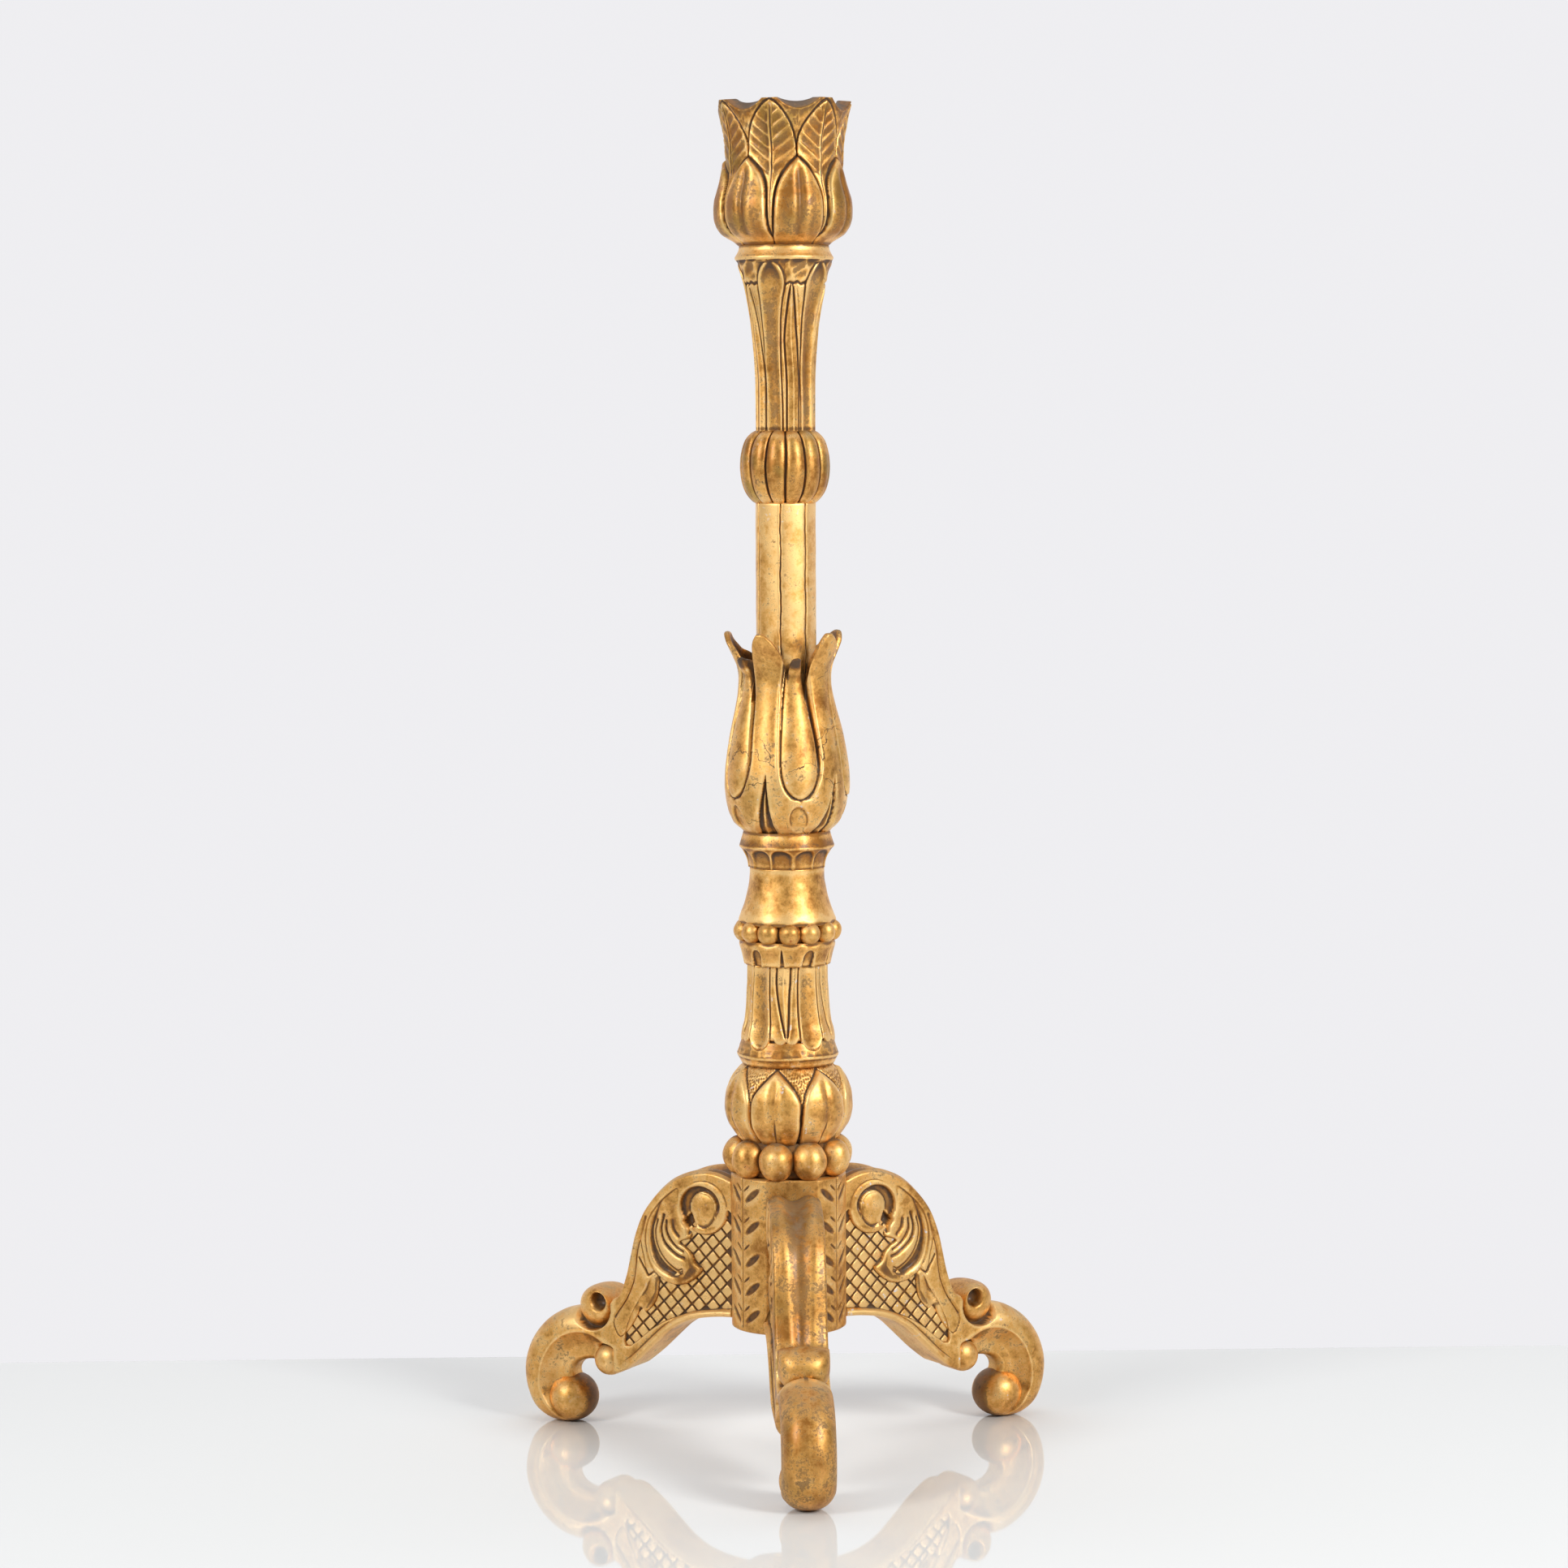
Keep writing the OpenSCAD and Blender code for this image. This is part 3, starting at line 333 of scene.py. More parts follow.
def bent(rows, s):
    """A curve through rows of numbers: the cubic between rows i and i + 1 starts and ends with
    half the step between the rows on either side of each."""
    n = len(rows) - 1
    i = np.minimum(np.floor(s).astype(int), n - 1)
    t = (s - i)[:, None]
    a, b, c, d = rows[np.maximum(i - 1, 0)], rows[i], rows[i + 1], rows[np.minimum(i + 2, n)]
    return 0.5 * (2 * b + (c - a) * t + (2 * a - 5 * b + 4 * c - d) * t ** 2
                  + (3 * b - a - 3 * c + d) * t ** 3)


def gap_to(p, line, ring=False):
    """Distance in mm from each point to a line of points, the least over its straight steps."""
    a = np.array(line, float)
    b = np.roll(a, -1, 0)
    if not ring:
        a, b = a[:-1], b[:-1]
    best = np.full(p.shape[:-1], 1e9)
    for start, end in zip(a, b):
        step = end - start
        w = p - start
        t = np.clip((w @ step) / (step @ step), 0, 1)
        best = np.minimum(best, np.hypot(*np.moveaxis(w - t[..., None] * step, -1, 0)))
    return best


def off_point(p, point):
    """Distance in mm from each point to one point."""
    return np.hypot(p[..., 0] - point[0], p[..., 1] - point[1])


def inside(p, ring):
    """Distance in mm to a closed line, counted as positive within it: within is where a level
    line from the point meets the ring an odd number of times."""
    a = np.array(ring, float)
    odd = np.zeros(p.shape[:-1], bool)
    for (x0, y0), (x1, y1) in zip(a, np.roll(a, -1, 0)):
        if y0 != y1:
            meets = ((y0 > p[..., 1]) != (y1 > p[..., 1]))
            odd ^= meets & (p[..., 0] < x0 + (p[..., 1] - y0) * (x1 - x0) / (y1 - y0))
    return np.where(odd, 1, -1) * gap_to(p, a, ring=True)


def drawn(points, n=4, ring=True):
    """A drawn line made smooth, with n steps between its points."""
    rows = np.array(points, float)
    if ring:
        rows = np.concatenate([rows[-1:], rows, rows[:2]])
        return bent(rows, 1 + np.arange(0, len(points), 1 / n))
    return bent(rows, np.append(np.arange(0, len(points) - 1, 1 / n), len(points) - 1 - 1e-9))


def leg_side(p, under):
    """Half thickness in mm at a point of a leg's side. It starts as a plain slab, and each carved
    form lays its own height over what is there, with a steep edge where its outline runs. under
    is the distance from the leg's lower edge."""
    half = np.full(p.shape[:-1], 19.3)
    # sunk panel
    panel = drawn([(34, 103.6), (39, 103.3), (53.3, 101.4), (69.6, 98.9), (85, 93.8), (98.4, 87.9),
                   (110.9, 79.5), (126.6, 67.2), (132, 70), (129, 84), (121, 100), (113, 112),
                   (108, 122), (97, 135), (90, 150), (82, 165), (70, 176), (50, 175), (34, 172)], 2)
    half = half - 3.4 * ease(-0.5, 0.9, inside(p, panel))
    # rounded rib along the arch
    rib = np.clip((under - 3.1) / 3.1, -1, 1)
    along = ease(140, 118, p[..., 0])
    rib_top = 17.0 + 4.6 * np.sqrt(np.maximum(1 - rib ** 2, 0))
    half = np.where((under < 6.2) & (p[..., 0] < 140) & (p[..., 1] < 120),
                    half + (rib_top - half) * along * ease(6.4, 5.6, under), half)
    # strap leaf, its edge laid over the panel
    strap = drawn([(117.5, 150), (121.2, 138), (121.8, 130.7), (124, 116.9), (130.4, 102.7), (139.9, 89),
                   (141, 81.6), (135.3, 73.1), (127.5, 80.2), (121.2, 90), (118.5, 97), (112.8, 94.4),
                   (104.5, 103.4), (101.8, 113.6), (101.2, 122.7), (104.3, 126.5), (110.5, 124),
                   (114, 138)], 3)
    on = inside(p, strap)
    top = 18.9 - 1.3 * hill(gap_to(p, [(113, 124), (112.4, 118.5), (113.5, 104.8), (118.4, 97.5)]), 3.2)
    top = top - 0.9 * hill(gap_to(p, [(124, 112), (127.5, 98), (131, 86), (133, 78)]), 2.6)
    top = top - 0.8 * hill(on, 1.3)
    half = np.maximum(half - 1.0 * hill(on, 0.8) * ease(-2.5, 0, on),
                      half + (top - half) * ease(-0.4, 0.7, on))
    half = half - 1.1 * hill(gap_to(p, [(113.2, 167.7), (120.7, 141.7), (121.8, 130.7), (124, 116.9),
                                        (130.4, 102.7), (139.9, 89)]), 1.5)
    half = half - 1.4 * hill(gap_to(p, [(118.5, 136), (110.5, 122.7), (104.3, 127.5)]), 0.7)
    # acanthus leaf
    leaf = drawn([(84, 192), (93, 187), (101.8, 179), (110.1, 168), (113.6, 155.1), (113.2, 144.3),
                  (110.2, 133.7), (104.8, 124.6), (96.1, 118.8), (85.9, 117.2), (75.6, 120), (66.8, 126.6),
                  (63.6, 131.2), (66, 133.6), (69.8, 136.5), (72.4, 142.5), (78.5, 147.2), (83.6, 149.6),
                  (80.5, 152), (75.0, 153.6), (72.6, 156.4), (74.4, 161), (80.3, 168), (83.8, 179.2)], 3)
    on = inside(p, leaf)
    swell = 18.6 + 1.2 * ease(96, 74, p[..., 0]) - 0.7 * hill(on, 1.4)
    half = half + (swell - half) * ease(-0.4, 0.8, on)
    scoop = drawn([(99, 181), (107.8, 168), (111.2, 155.1), (110.8, 144.3), (107.4, 133.7), (101.8, 127.4),
                   (93.6, 123.4), (86, 122.4), (79.7, 126), (81.7, 129.4), (85.8, 128.6), (94, 133.3),
                   (100.1, 139.9), (104.1, 148.6), (105.1, 157.6), (102.9, 166)], 3)
    dip = inside(p, scoop)
    half = half - 2.9 * ease(0, 3.6, dip) - 0.4 * ease(-1.5, 0.5, dip)
    for line, cut, wide in (
            ([(102.9, 165.9), (105.1, 157.6), (104.1, 148.6), (100.1, 139.9), (94, 133.3), (85.8, 128.6),
              (81.7, 129.4)], 1.6, 0.9),
            ([(97.2, 170), (99.9, 159.8), (97.9, 151), (92.8, 145.1), (85.7, 140.3), (79.6, 138.6)],
             2.0, 0.9),
            ([(95.2, 165.6), (95.3, 158.4), (91.8, 151.5), (85.6, 145.8), (80.5, 143.5)], 1.9, 0.9),
            ([(89.6, 166.1), (88.6, 159.9), (84.5, 154.9)], 0.9, 1.4)):
        far = gap_to(p, drawn(line, 3, ring=False))
        half = half - cut * hill(far, wide) - 0.7 * hill(far, 2.6)
    # volute: a rounded strap that winds into a domed eye, with a crescent hollow between them
    c = p - np.array([62.5, 178.3])
    far, turn = np.hypot(c[..., 0], c[..., 1]), np.degrees(np.arctan2(c[..., 1], c[..., 0]))
    around = [(-180, 14.6), (-158, 13.7), (-128, 14.2), (-100, 15.2), (-75, 15.6), (-53, 20.3), (-30, 20.6),
              (0, 21.2), (34, 20), (66, 18), (104, 16), (140, 15.4), (172, 14.9), (180, 14.6)]
    eye = [(-180, 9.8), (-158, 11), (-128, 13.2), (-90, 15.4), (-60, 14.2), (-40, 12), (0, 10.8), (66, 10.9),
           (140, 10.4), (180, 9.8)]
    outer, inner = faired(around, turn), faired(eye, turn)
    # the strap is laid all round, save on the side where the leaf springs from it
    strap_on = 20.6 - far
    strap_top = 19.6 - 0.9 * ((far - 17.6) / 3) ** 2 * (far > 17.6)
    strap_run = ease(-40, -70, -np.abs(turn) * (turn < 60) - 200 * (turn >= 60))
    half = np.where(strap_on > -1.2, half + (strap_top - half) * ease(-0.6, 0.6, strap_on) * strap_run, half)
    hollow = ease(0, 2.2, outer - far) * ease(0, 1.4, far - inner)
    width = np.clip(outer - inner, 0, 8)
    half = half - (1.3 + 0.36 * width) * hollow * ease(0.2, 2.0, width)
    dome = 17.6 + 2.2 * np.sqrt(np.clip(1 - (far / inner) ** 2, 0, 1))
    half = half + (dome - half) * ease(0.4, -0.4, far - inner)
    half = half - 2.6 * hill(gap_to(p, [(79, 166), (75.5, 162), (75, 158)]), 1.7)
    # cove on the inner side of the foot, deepest where it runs out at the inner edge
    cove = drawn([(147.7, 65), (155.6, 70.5), (167.4, 73.8), (181.3, 72.1), (193.4, 65.2), (202.5, 53.7),
                  (207.3, 39.9), (206.8, 25.8), (202.9, 17.3), (194, 6), (180, 0), (164, 8), (156, 30),
                  (152, 50), (149, 59)], 3)
    dip = inside(p, cove)
    half = half - 9.6 * np.sin(np.pi / 2 * np.clip(dip / 15, 0, 1)) * ease(-0.2, 0.8, dip)
    half = half + 0.4 * hill(dip + 0.6, 1.2)
    # the sides stand back round the ball at the knee and round the small scroll
    half = half + (10 - half) * ease(13.6, 12.0, off_point(p, knee_at)) * ease(141, 146, p[..., 0])
    half = half + (10 - half) * ease(17.4, 15.8, off_point(p, scroll_at))
    # pocket bored between the small scroll and the leg
    return half - 10 * ease(7.5, 4.5, off_point(p, pocket_at))


def rolled(distance, size):
    """How far a quarter-round edge of a size stands back at a distance from the edge."""
    t = np.clip(1 - distance / (0.85 * size), 0, 1)
    return size * (1 - np.sqrt(1 - t * t))


# the part of the sunk panel that the leaves leave bare, for the crossed cuts
bare = [(33, 103), (39, 103.3), (53.3, 101.4), (69.6, 98.9), (85, 93.8), (98.4, 87.9), (110.9, 79.5),
        (126.6, 67.2), (131, 72), (120, 92), (112, 99), (105, 110), (104, 122), (96, 125), (80, 124),
        (74, 132), (76, 142), (82, 149), (76, 156), (74, 162), (62, 163), (46, 166), (33, 175)]


def leg_skin(drop):
    """One leg: points [distance from the axis, height, how far across] in rings from hub to toe,
    their carving, and the leg's outline. drop lowers the top edge near the hub, in mm."""
    rings, side_steps, top_steps = 250, 141, 45
    rows = leg_rows.copy()
    rows[:8, 1] -= drop * np.array([0.75, 0.98, 1, 0.95, 0.68, 0.36, 0.1, 0])
    last = len(rows) - 1
    s_even = np.linspace(0, last, 2001)
    mid = bent(rows, s_even)
    pace = np.hypot(*np.diff(mid[:, :2], axis=0).T) + np.hypot(*np.diff(mid[:, 2:], axis=0).T)
    pace = np.append(0, np.cumsum(pace * np.where(mid[1:, 0] < 150, 1.0, 0.62)))
    s = np.interp(np.linspace(0, pace[-1], rings), pace, s_even)
    line = bent(rows, np.minimum(s, last - 1e-9))
    upper, lower = line[:, :2], line[:, 2:]
    v = np.linspace(0, 1, side_steps)
    v = 0.82 * v + 0.18 * (0.5 - 0.5 * np.cos(np.pi * v))
    face = upper[:, None] * (1 - v[:, None]) + lower[:, None] * v[:, None]
    over, under = gap_to(face, upper), gap_to(face, lower)
    foot = ease(12.8, 15.4, s)[:, None]
    half = leg_side(face, under)
    cut = 0.85 * hollows(half, wrap=False, wide=0.10)
    cut = cut - 0.72 * ease(-0.8, 0.6, inside(face, bare)) * ease(5.6, 6.6, under)
    half = half - rolled(over, 3.4 + 14.4 * foot)
    half = half - rolled(under, 2.6 + 3.4 * foot) * np.where(s[:, None] < 12, 0.4, 1)
    half = np.maximum(half, 6 - 4.6 * foot)
    half[:, 0] = softened(half[:, :3], 6, wrap=False)[:, 0]
    w = np.linspace(-1, 1, top_steps)[1:-1]
    across_top, across_sole = w * half[:, :1], w[::4] * half[:, -1:]
    slope = np.gradient(upper, axis=0)
    inward = np.stack([slope[:, 1], -slope[:, 0]], -1) / np.hypot(*slope.T)[:, None]
    # the top has a hollow down its middle between two soft ridges, and falls away outside them
    ridge = (12.5 - 4.0 * ease(5, 11.5, s))[:, None]
    u = np.abs(across_top)
    deep = ((4.3 - 1.7 * ease(3.5, 8, s)) * (1 - ease(10.8, 12.6, s)))[:, None]
    channel = deep * (0.5 + 0.5 * np.cos(np.pi * np.clip(u / ridge, 0, 1)))
    shoulder, edge = (0.75 * deep * np.clip((q - ridge) / (18.2 - ridge), 0, 1) ** 1.5
                      for q in (u, half[:, :1]))
    # the upper edge of each side drops with the outer edge of the top
    face = face + inward[:, None] * (edge * ease(10, 0, over))[..., None]
    top = upper[:, None] + inward[:, None] * (channel + shoulder)[..., None]
    # round each ring: one side down, the sole, the other side up, and back over the top
    grid = np.concatenate([np.concatenate([q, t[..., None]], -1) for q, t in (
        (face, -half), (lower[:, None] + 0 * across_sole[..., None], across_sole),
        (face[:, ::-1], half[:, ::-1]), (top[:, ::-1], across_top[:, ::-1]))], 1)
    grid[..., 0] = np.maximum(grid[..., 0], seat_at)
    top_cut = np.clip(0.05 - 0.10 * channel - 0.1 * shoulder, -0.5, 0.3) - 0.5 * ease(3, 1.2, s)[:, None]
    crease = 0.75 * hill(off_point(upper, scroll_at) - 17.5, 3.5)[:, None] * (upper[:, :1] > 161)
    cuts = np.concatenate([cut, 0 * across_sole + 0.1, cut[:, ::-1], (top_cut - crease)[:, ::-1]], 1)
    return grid, np.clip(cuts, -1, 1), np.concatenate([upper, lower[::-1]])


def roller(centre, profile, shade, lean=(0, 0)):
    """A body turned about an axis across the leg, and its carving: profile is [radius, how far
    across], shade the carving of each ring. lean moves the middle of its faces off the axis,
    and each ring in proportion."""
    r, t = profile.T[..., None]
    turn = np.linspace(0, 2 * np.pi, 72, endpoint=False)
    move = 1 - r / r.max()
    grid = np.stack([centre[0] + lean[0] * move + r * np.cos(turn),
                     centre[1] + lean[1] * move - r * np.sin(turn), t + 0 * turn], -1)
    return grid, shade + 0 * grid[..., 0]


def mirrored(half_profile):
    """A profile [radius, how far across] run from one side to the other."""
    p = np.array(half_profile, float)
    return np.concatenate([p * (1, -1), p[::-1]])


def domed(start, end, steps, inner_r, rise_r, inner_t, rise_t, power):
    """Half profile of a domed end. For angles from start to end, in degrees, the radius is inner_r
    plus rise_r times the sine, and the distance across inner_t plus rise_t times the cosine to a
    power."""
    return [(inner_r + rise_r * np.sin(a), inner_t + rise_t * np.cos(a) ** power)
            for a in np.radians(np.linspace(start, end, steps))]


ball = mirrored(domed(2, 88, 24, 0, 18.6, 0, 20.1, 0.9) + [(18.6, 0.3)])
knob = mirrored(domed(3, 90, 16, 0, 12.3, 8.4, 12.0, 0.85))
scroll = mirrored([(0.4, 9.6), (4.0, 9.6), (5.2, 11.0), (5.9, 13.6), (6.5, 15.8), (7.1, 17.4)]
                  + domed(0, 89, 20, 7.7, 8.5, 0, 18.4, 0.85))
ball_shade = 0.15 - 0.7 * ease(14, 5, np.abs(ball[:, 1:]))
bore_shade = np.where(scroll[:, :1] < 5.5, -0.85, np.where(scroll[:, :1] < 6.8, -0.3, 0.1))
extras = [roller(ball_at, ball, ball_shade), roller(knee_at, knob, 0.15),
          roller(scroll_at, scroll, bore_shade, lean=(-10, 9.5))]

# crossed cuts leave a field of flat-topped diamonds with eased edges
cut_step, cut_wide = 8.6, 1.35
diagonal, stud_r = cut_step * np.sqrt(0.5), (cut_step - cut_wide) * np.sqrt(0.5)
i, j = np.meshgrid(np.arange(-12, 13), np.arange(-12, 13))
cells = np.stack([80 + (i + j) * diagonal, 110 + (j - i + 1) * diagonal], -1).reshape(-1, 2)
skins = {drop: leg_skin(drop) for drop in (front_drop, 0.0)}
cells = cells[(inside(cells, bare) > -2.6) & (inside(cells, skins[0.0][2]) > 5.0)]
corner = np.radians(np.arange(0, 360, 90))
# each diamond's rings: a share of its size, how far across the leg, and the carving
levels = [(0.5, 14.5, -0.7), (0.5, 16.25, -0.5), (0.485, 16.7, 0.3), (0.40, 16.9, 0.75),
          (0.2, 16.95, 0.7)]
for hand in (-1, 1):
    for x, y in cells:
        rings = [np.stack([x + 2 * f * stud_r * np.cos(corner), y - 2 * f * stud_r * np.sin(corner) * hand,
                           np.full(4, hand * t)], -1) for f, t, _ in levels]
        extras.append((np.array(rings), np.repeat([[c] for _, _, c in levels], 4, 1)))


def placed(grid, turn):
    """Leg points [distance, height, across] turned to the leg's own direction, in degrees."""
    a = np.radians(turn)
    out, side = np.array([np.sin(a), -np.cos(a)]), np.array([np.cos(a), np.sin(a)])
    flat = grid[..., :1] * out + grid[..., 2:] * side + (0, stem_at)
    return np.concatenate([flat, grid[..., 1:2]], -1)


# the front leg is the dirtiest, and the right one has lost the most gilding; the two side legs also get less
# grime and brighter gold as painted light, for the light that falls on their sides
for turn, node_name, shift, drop, wear in (
        (leg_turns[0], "front_leg", 0.31, front_drop, dict(grime=0.86, green=0.25, bright=0.36, chips=0.1)),
        (leg_turns[1], "left_leg", 0.53, 0.0, dict(grime=0.42, green=0.1, bright=0.64, chips=0.25)),
        (leg_turns[2], "right_leg", 0.79, 0.0, dict(grime=0.42, green=0.1, bright=0.64, chips=1.0))):
    grid, cuts, _ = skins[drop]
    body = closed_skin(node_name + "_carved", placed(grid, turn), cuts,
                       [(placed(extra, turn), cut) for extra, cut in extras])
    paint = gilding(node_name.replace("_", " ") + " gilding", shift, dust=0.4, bole=0.15, **wear)
    seat(body, node_name, paint)

# ---------------------------------------------------------------------------------------------
# Ball ring. Nine big beads cut from a turned ring and rounded by hand, a little taller than wide, so
# that each touches the next and laps over the blocks above and below. The ring is threaded on the
# dowel that runs from the hub up into the column.


def bead_ring(name, count, first, ring_r, wide, tall, middle, core):
    """Beads are slightly lumpy eggs turned about upright axes: wide and tall are half their
    width and height, ring_r their distance from the stem, and first the direction of the first.
    core is the half height and radius of the turned ring behind them."""
    steps = 48 if wide > 10 else 36
    turn = np.linspace(0, 2 * np.pi, steps, endpoint=False)
    tilt = np.radians(np.linspace(-88, 88, steps // 2 + 1))[:, None]
    side, rise, out = np.cos(tilt) * np.sin(turn), np.sin(tilt) + 0 * turn, np.cos(tilt) * np.cos(turn)
    parts = []
    for k in range(count):
        a = np.radians(first + k * 360 / count + 0.7 * np.sin(5.1 * k))
        lump = 1 + 0.018 * np.sin(3 * turn + k) * np.cos(tilt) + 0.012 * np.sin(5 * tilt + 2 * k)
        r, x = ring_r + wide * out * lump, wide * side * lump * (1 + 0.03 * np.sin(2.3 * k))
        grid = np.stack([r * np.sin(a) + x * np.cos(a), stem_at - r * np.cos(a) + x * np.sin(a),
                         middle + 0.25 * np.sin(7 * k) + tall * rise * lump], -1)
        cut = (0.30 - 0.75 * ease(0.88, 1.0, np.abs(side)) * ease(0.6, 0.1, out)
               - 0.85 * ease(0.82, 1.0, np.abs(rise)) - 0.9 * ease(0.15, -0.3, out)
               + 0.12 * np.sin(4 * turn + k) * np.cos(3 * tilt))
        parts.append((grid, np.clip(cut, -1, 1)))
    az = np.arange(0, 360, 5)
    r = core[1] + np.array([-1, 0, 0, -1])[:, None] + 0 * az
    ring = about_stem(az, r, middle + core[0] * np.array([-1, -0.9, 0.9, 1])[:, None])
    return closed_skin(name, ring, np.full(r.shape, -0.55), parts)


big_beads = bead_ring("big_beads", count=9, first=-15.7, ring_r=35.9, wide=13.1, tall=14.6,
                      middle=220.6, core=(13.0, 34.0))
seat(big_beads, "ball_ring",
     gilding("big bead gilding", 0.17, grime=0.8, bole=0.4, chips=0.2, dust=0.45, bright=0.45))

# ---------------------------------------------------------------------------------------------
# Leaf bulb. A turned block on the same dowel, carved with seven upturned water leaves, each with a
# soft crease down its middle. The ground that shows between their tips is punched with the end of a
# gouge.


def lens(table, z, mm):
    """Half width in mm at each height, from a table, and the distance in mm inside the edges of
    a form that wide. The level distance is shortened by the slope of the edge."""
    half = faired(table, z)
    lean = faired(table, z + 0.5) - faired(table, z - 0.5)
    return half, (half - np.abs(mm)) / np.sqrt(1 + lean ** 2)


def dents(u, v):
    """Squared distance to the nearest point of a shaken square net with steps of 1: 0 on the floor
    of each dent and about 0.5 along the sharp arrises between them."""
    u, v = np.broadcast_arrays(u, v)
    best = np.full(u.shape, 9.0)
    for i in (-1, 0, 1):
        for j in (-1, 0, 1):
            p, q = np.floor(u) + i, np.floor(v) + j
            x = p + 0.5 + 0.4 * np.sin(12.99 * p + 78.23 * q + 3.1 * np.sin(5.3 * q))
            y = q + 0.5 + 0.4 * np.sin(39.35 * p + 11.14 * q + 2.7 * np.sin(7.9 * p))
            best = np.minimum(best, (u - x) ** 2 + (v - y) ** 2)
    return best


az = np.arange(0, 360, 0.625)
low, top = heights("leaf_bulb")
leaves = 7
z = np.linspace(low, top, 96)[:, None]
base = faired([(233, 35), (236, 38.3), (240, 41.4), (243, 43.4), (246, 45.3), (252, 47.3), (258, 48.2),
               (267, 47.7), (273, 46.1), (279.4, 43.6), (282.5, 41.8), (285.5, 39.7), (288.6, 37),
               (290, 35.2)], z)
wobble = 0.35 * np.sin(z / 9 + 2 * np.radians(az)) + 0.25 * np.sin(z / 4 + 5 * np.radians(az))
mm = arc(az, leaves, -14.5, base) + wobble
pitch = np.pi / leaves * base
wide, on = lens([(233, 14.5), (240, 17.7), (250, 20.3), (258, 20.6), (264, 20.2), (269, 18.4), (274, 15.3),
                 (279, 10.8), (283, 6.4), (286.5, 2.2), (288.2, 0), (290, -3)], z, mm)
x = np.clip(np.abs(mm) / np.maximum(wide, 1), 0, 1)
crease = 1.25 * hill(mm, 3.0) * ease(288, 274, z) * ease(233, 242, z)
leaf = -1.5 * x ** 3 + 0.25 * hill(np.abs(mm) - 6, 3) * ease(285, 272, z) - 0.5 * hill(on, 1.0)
cut_line = 0.7 * hill(mm, 0.7) * ease(256, 243, z)
ground = -3.3 + 1.5 * dents(mm / 2.0, z / 2.0) - 1.0 * hill(on, 1.2)
relief = np.where(on > 0, leaf - crease - cut_line, ground) - 1.2 * hill(on + 0.2, 0.7)
relief = relief - 2.2 * hill(np.abs(mm) - pitch, 1.0) * ease(268, 258, z)
shade = np.where(on > 0, leaf - cut_line, ground - 1.1) - 1.5 * hill(on + 0.2, 0.8)
shade = shade - 2.2 * hill(np.abs(mm) - pitch, 1.1) * ease(268, 258, z)
bulb = round_skin("carved_bulb", az, base + softened(relief, 1), z,
                  shade - 1.4 * hill(z - low, 2.2) - 1.6 * hill(z - top, 1.6))
seat(bulb, "leaf_bulb",
     gilding("bulb gilding", 0.23, grime=0.5, bole=0.25, chips=0.9, dust=0.3, bright=0.5, green=0.12))

# ---------------------------------------------------------------------------------------------
# Collar band. A turned ring with one sharp ridge, threaded between the bulb and the column. Its two
# slopes were pared with a flat chisel, and the upper one runs in under the column's tongues.

low, top = heights("collar_band", above=6.6)
ridge_r = 38.0
z = np.linspace(low, top, 36)[:, None]
ridge = 297.0 + 0.4 * np.sin(np.radians(3 * az))
base = ridge_r - np.where(z < ridge, 0.55 * (ridge - z), 0.34 * (z - ridge)) - 0.2 * hill(z - ridge, 0.5)
facets = 0.9 * (dents(np.radians(az) * ridge_r / 7.5, z / 9.0) - 0.4)
facets = facets * ease(0.3, 1.5, np.abs(z - ridge)) * ease(304, 301, z)
# cut back where the round tips of the column's tongues come down over it
narrowing = np.sqrt(np.maximum(1 - np.clip((314 - z) / 11.4, 0, 1) ** 2, 1e-4))
under_tip = arc(az, 5, 31.5, 36) / narrowing
facets = facets - 5 * ease(9.6, 8.8, np.abs(under_tip)) * ease(302.6, 303.4, z)
collar = round_skin("turned_collar", az, base + facets, z,
                    np.maximum(facets, -0.6) + 0.7 * hill(z - ridge, 0.8) - 1.8 * hill(z - low, 1.6)
                    - 0.5 * ease(300, 306, z))
seat(collar, "collar_band",
     gilding("collar gilding", 0.29, grime=0.9, bole=0.2, chips=0.35, dust=0.35, bright=0.45))

# ---------------------------------------------------------------------------------------------
# Fluted column. A turned block with a dowel in each end. It has five hollowed tongues with round
# lower ends, and between each two a long pointed dart with a ridge down its middle, cut with a V
# tool, with a narrow rib on each side of it.


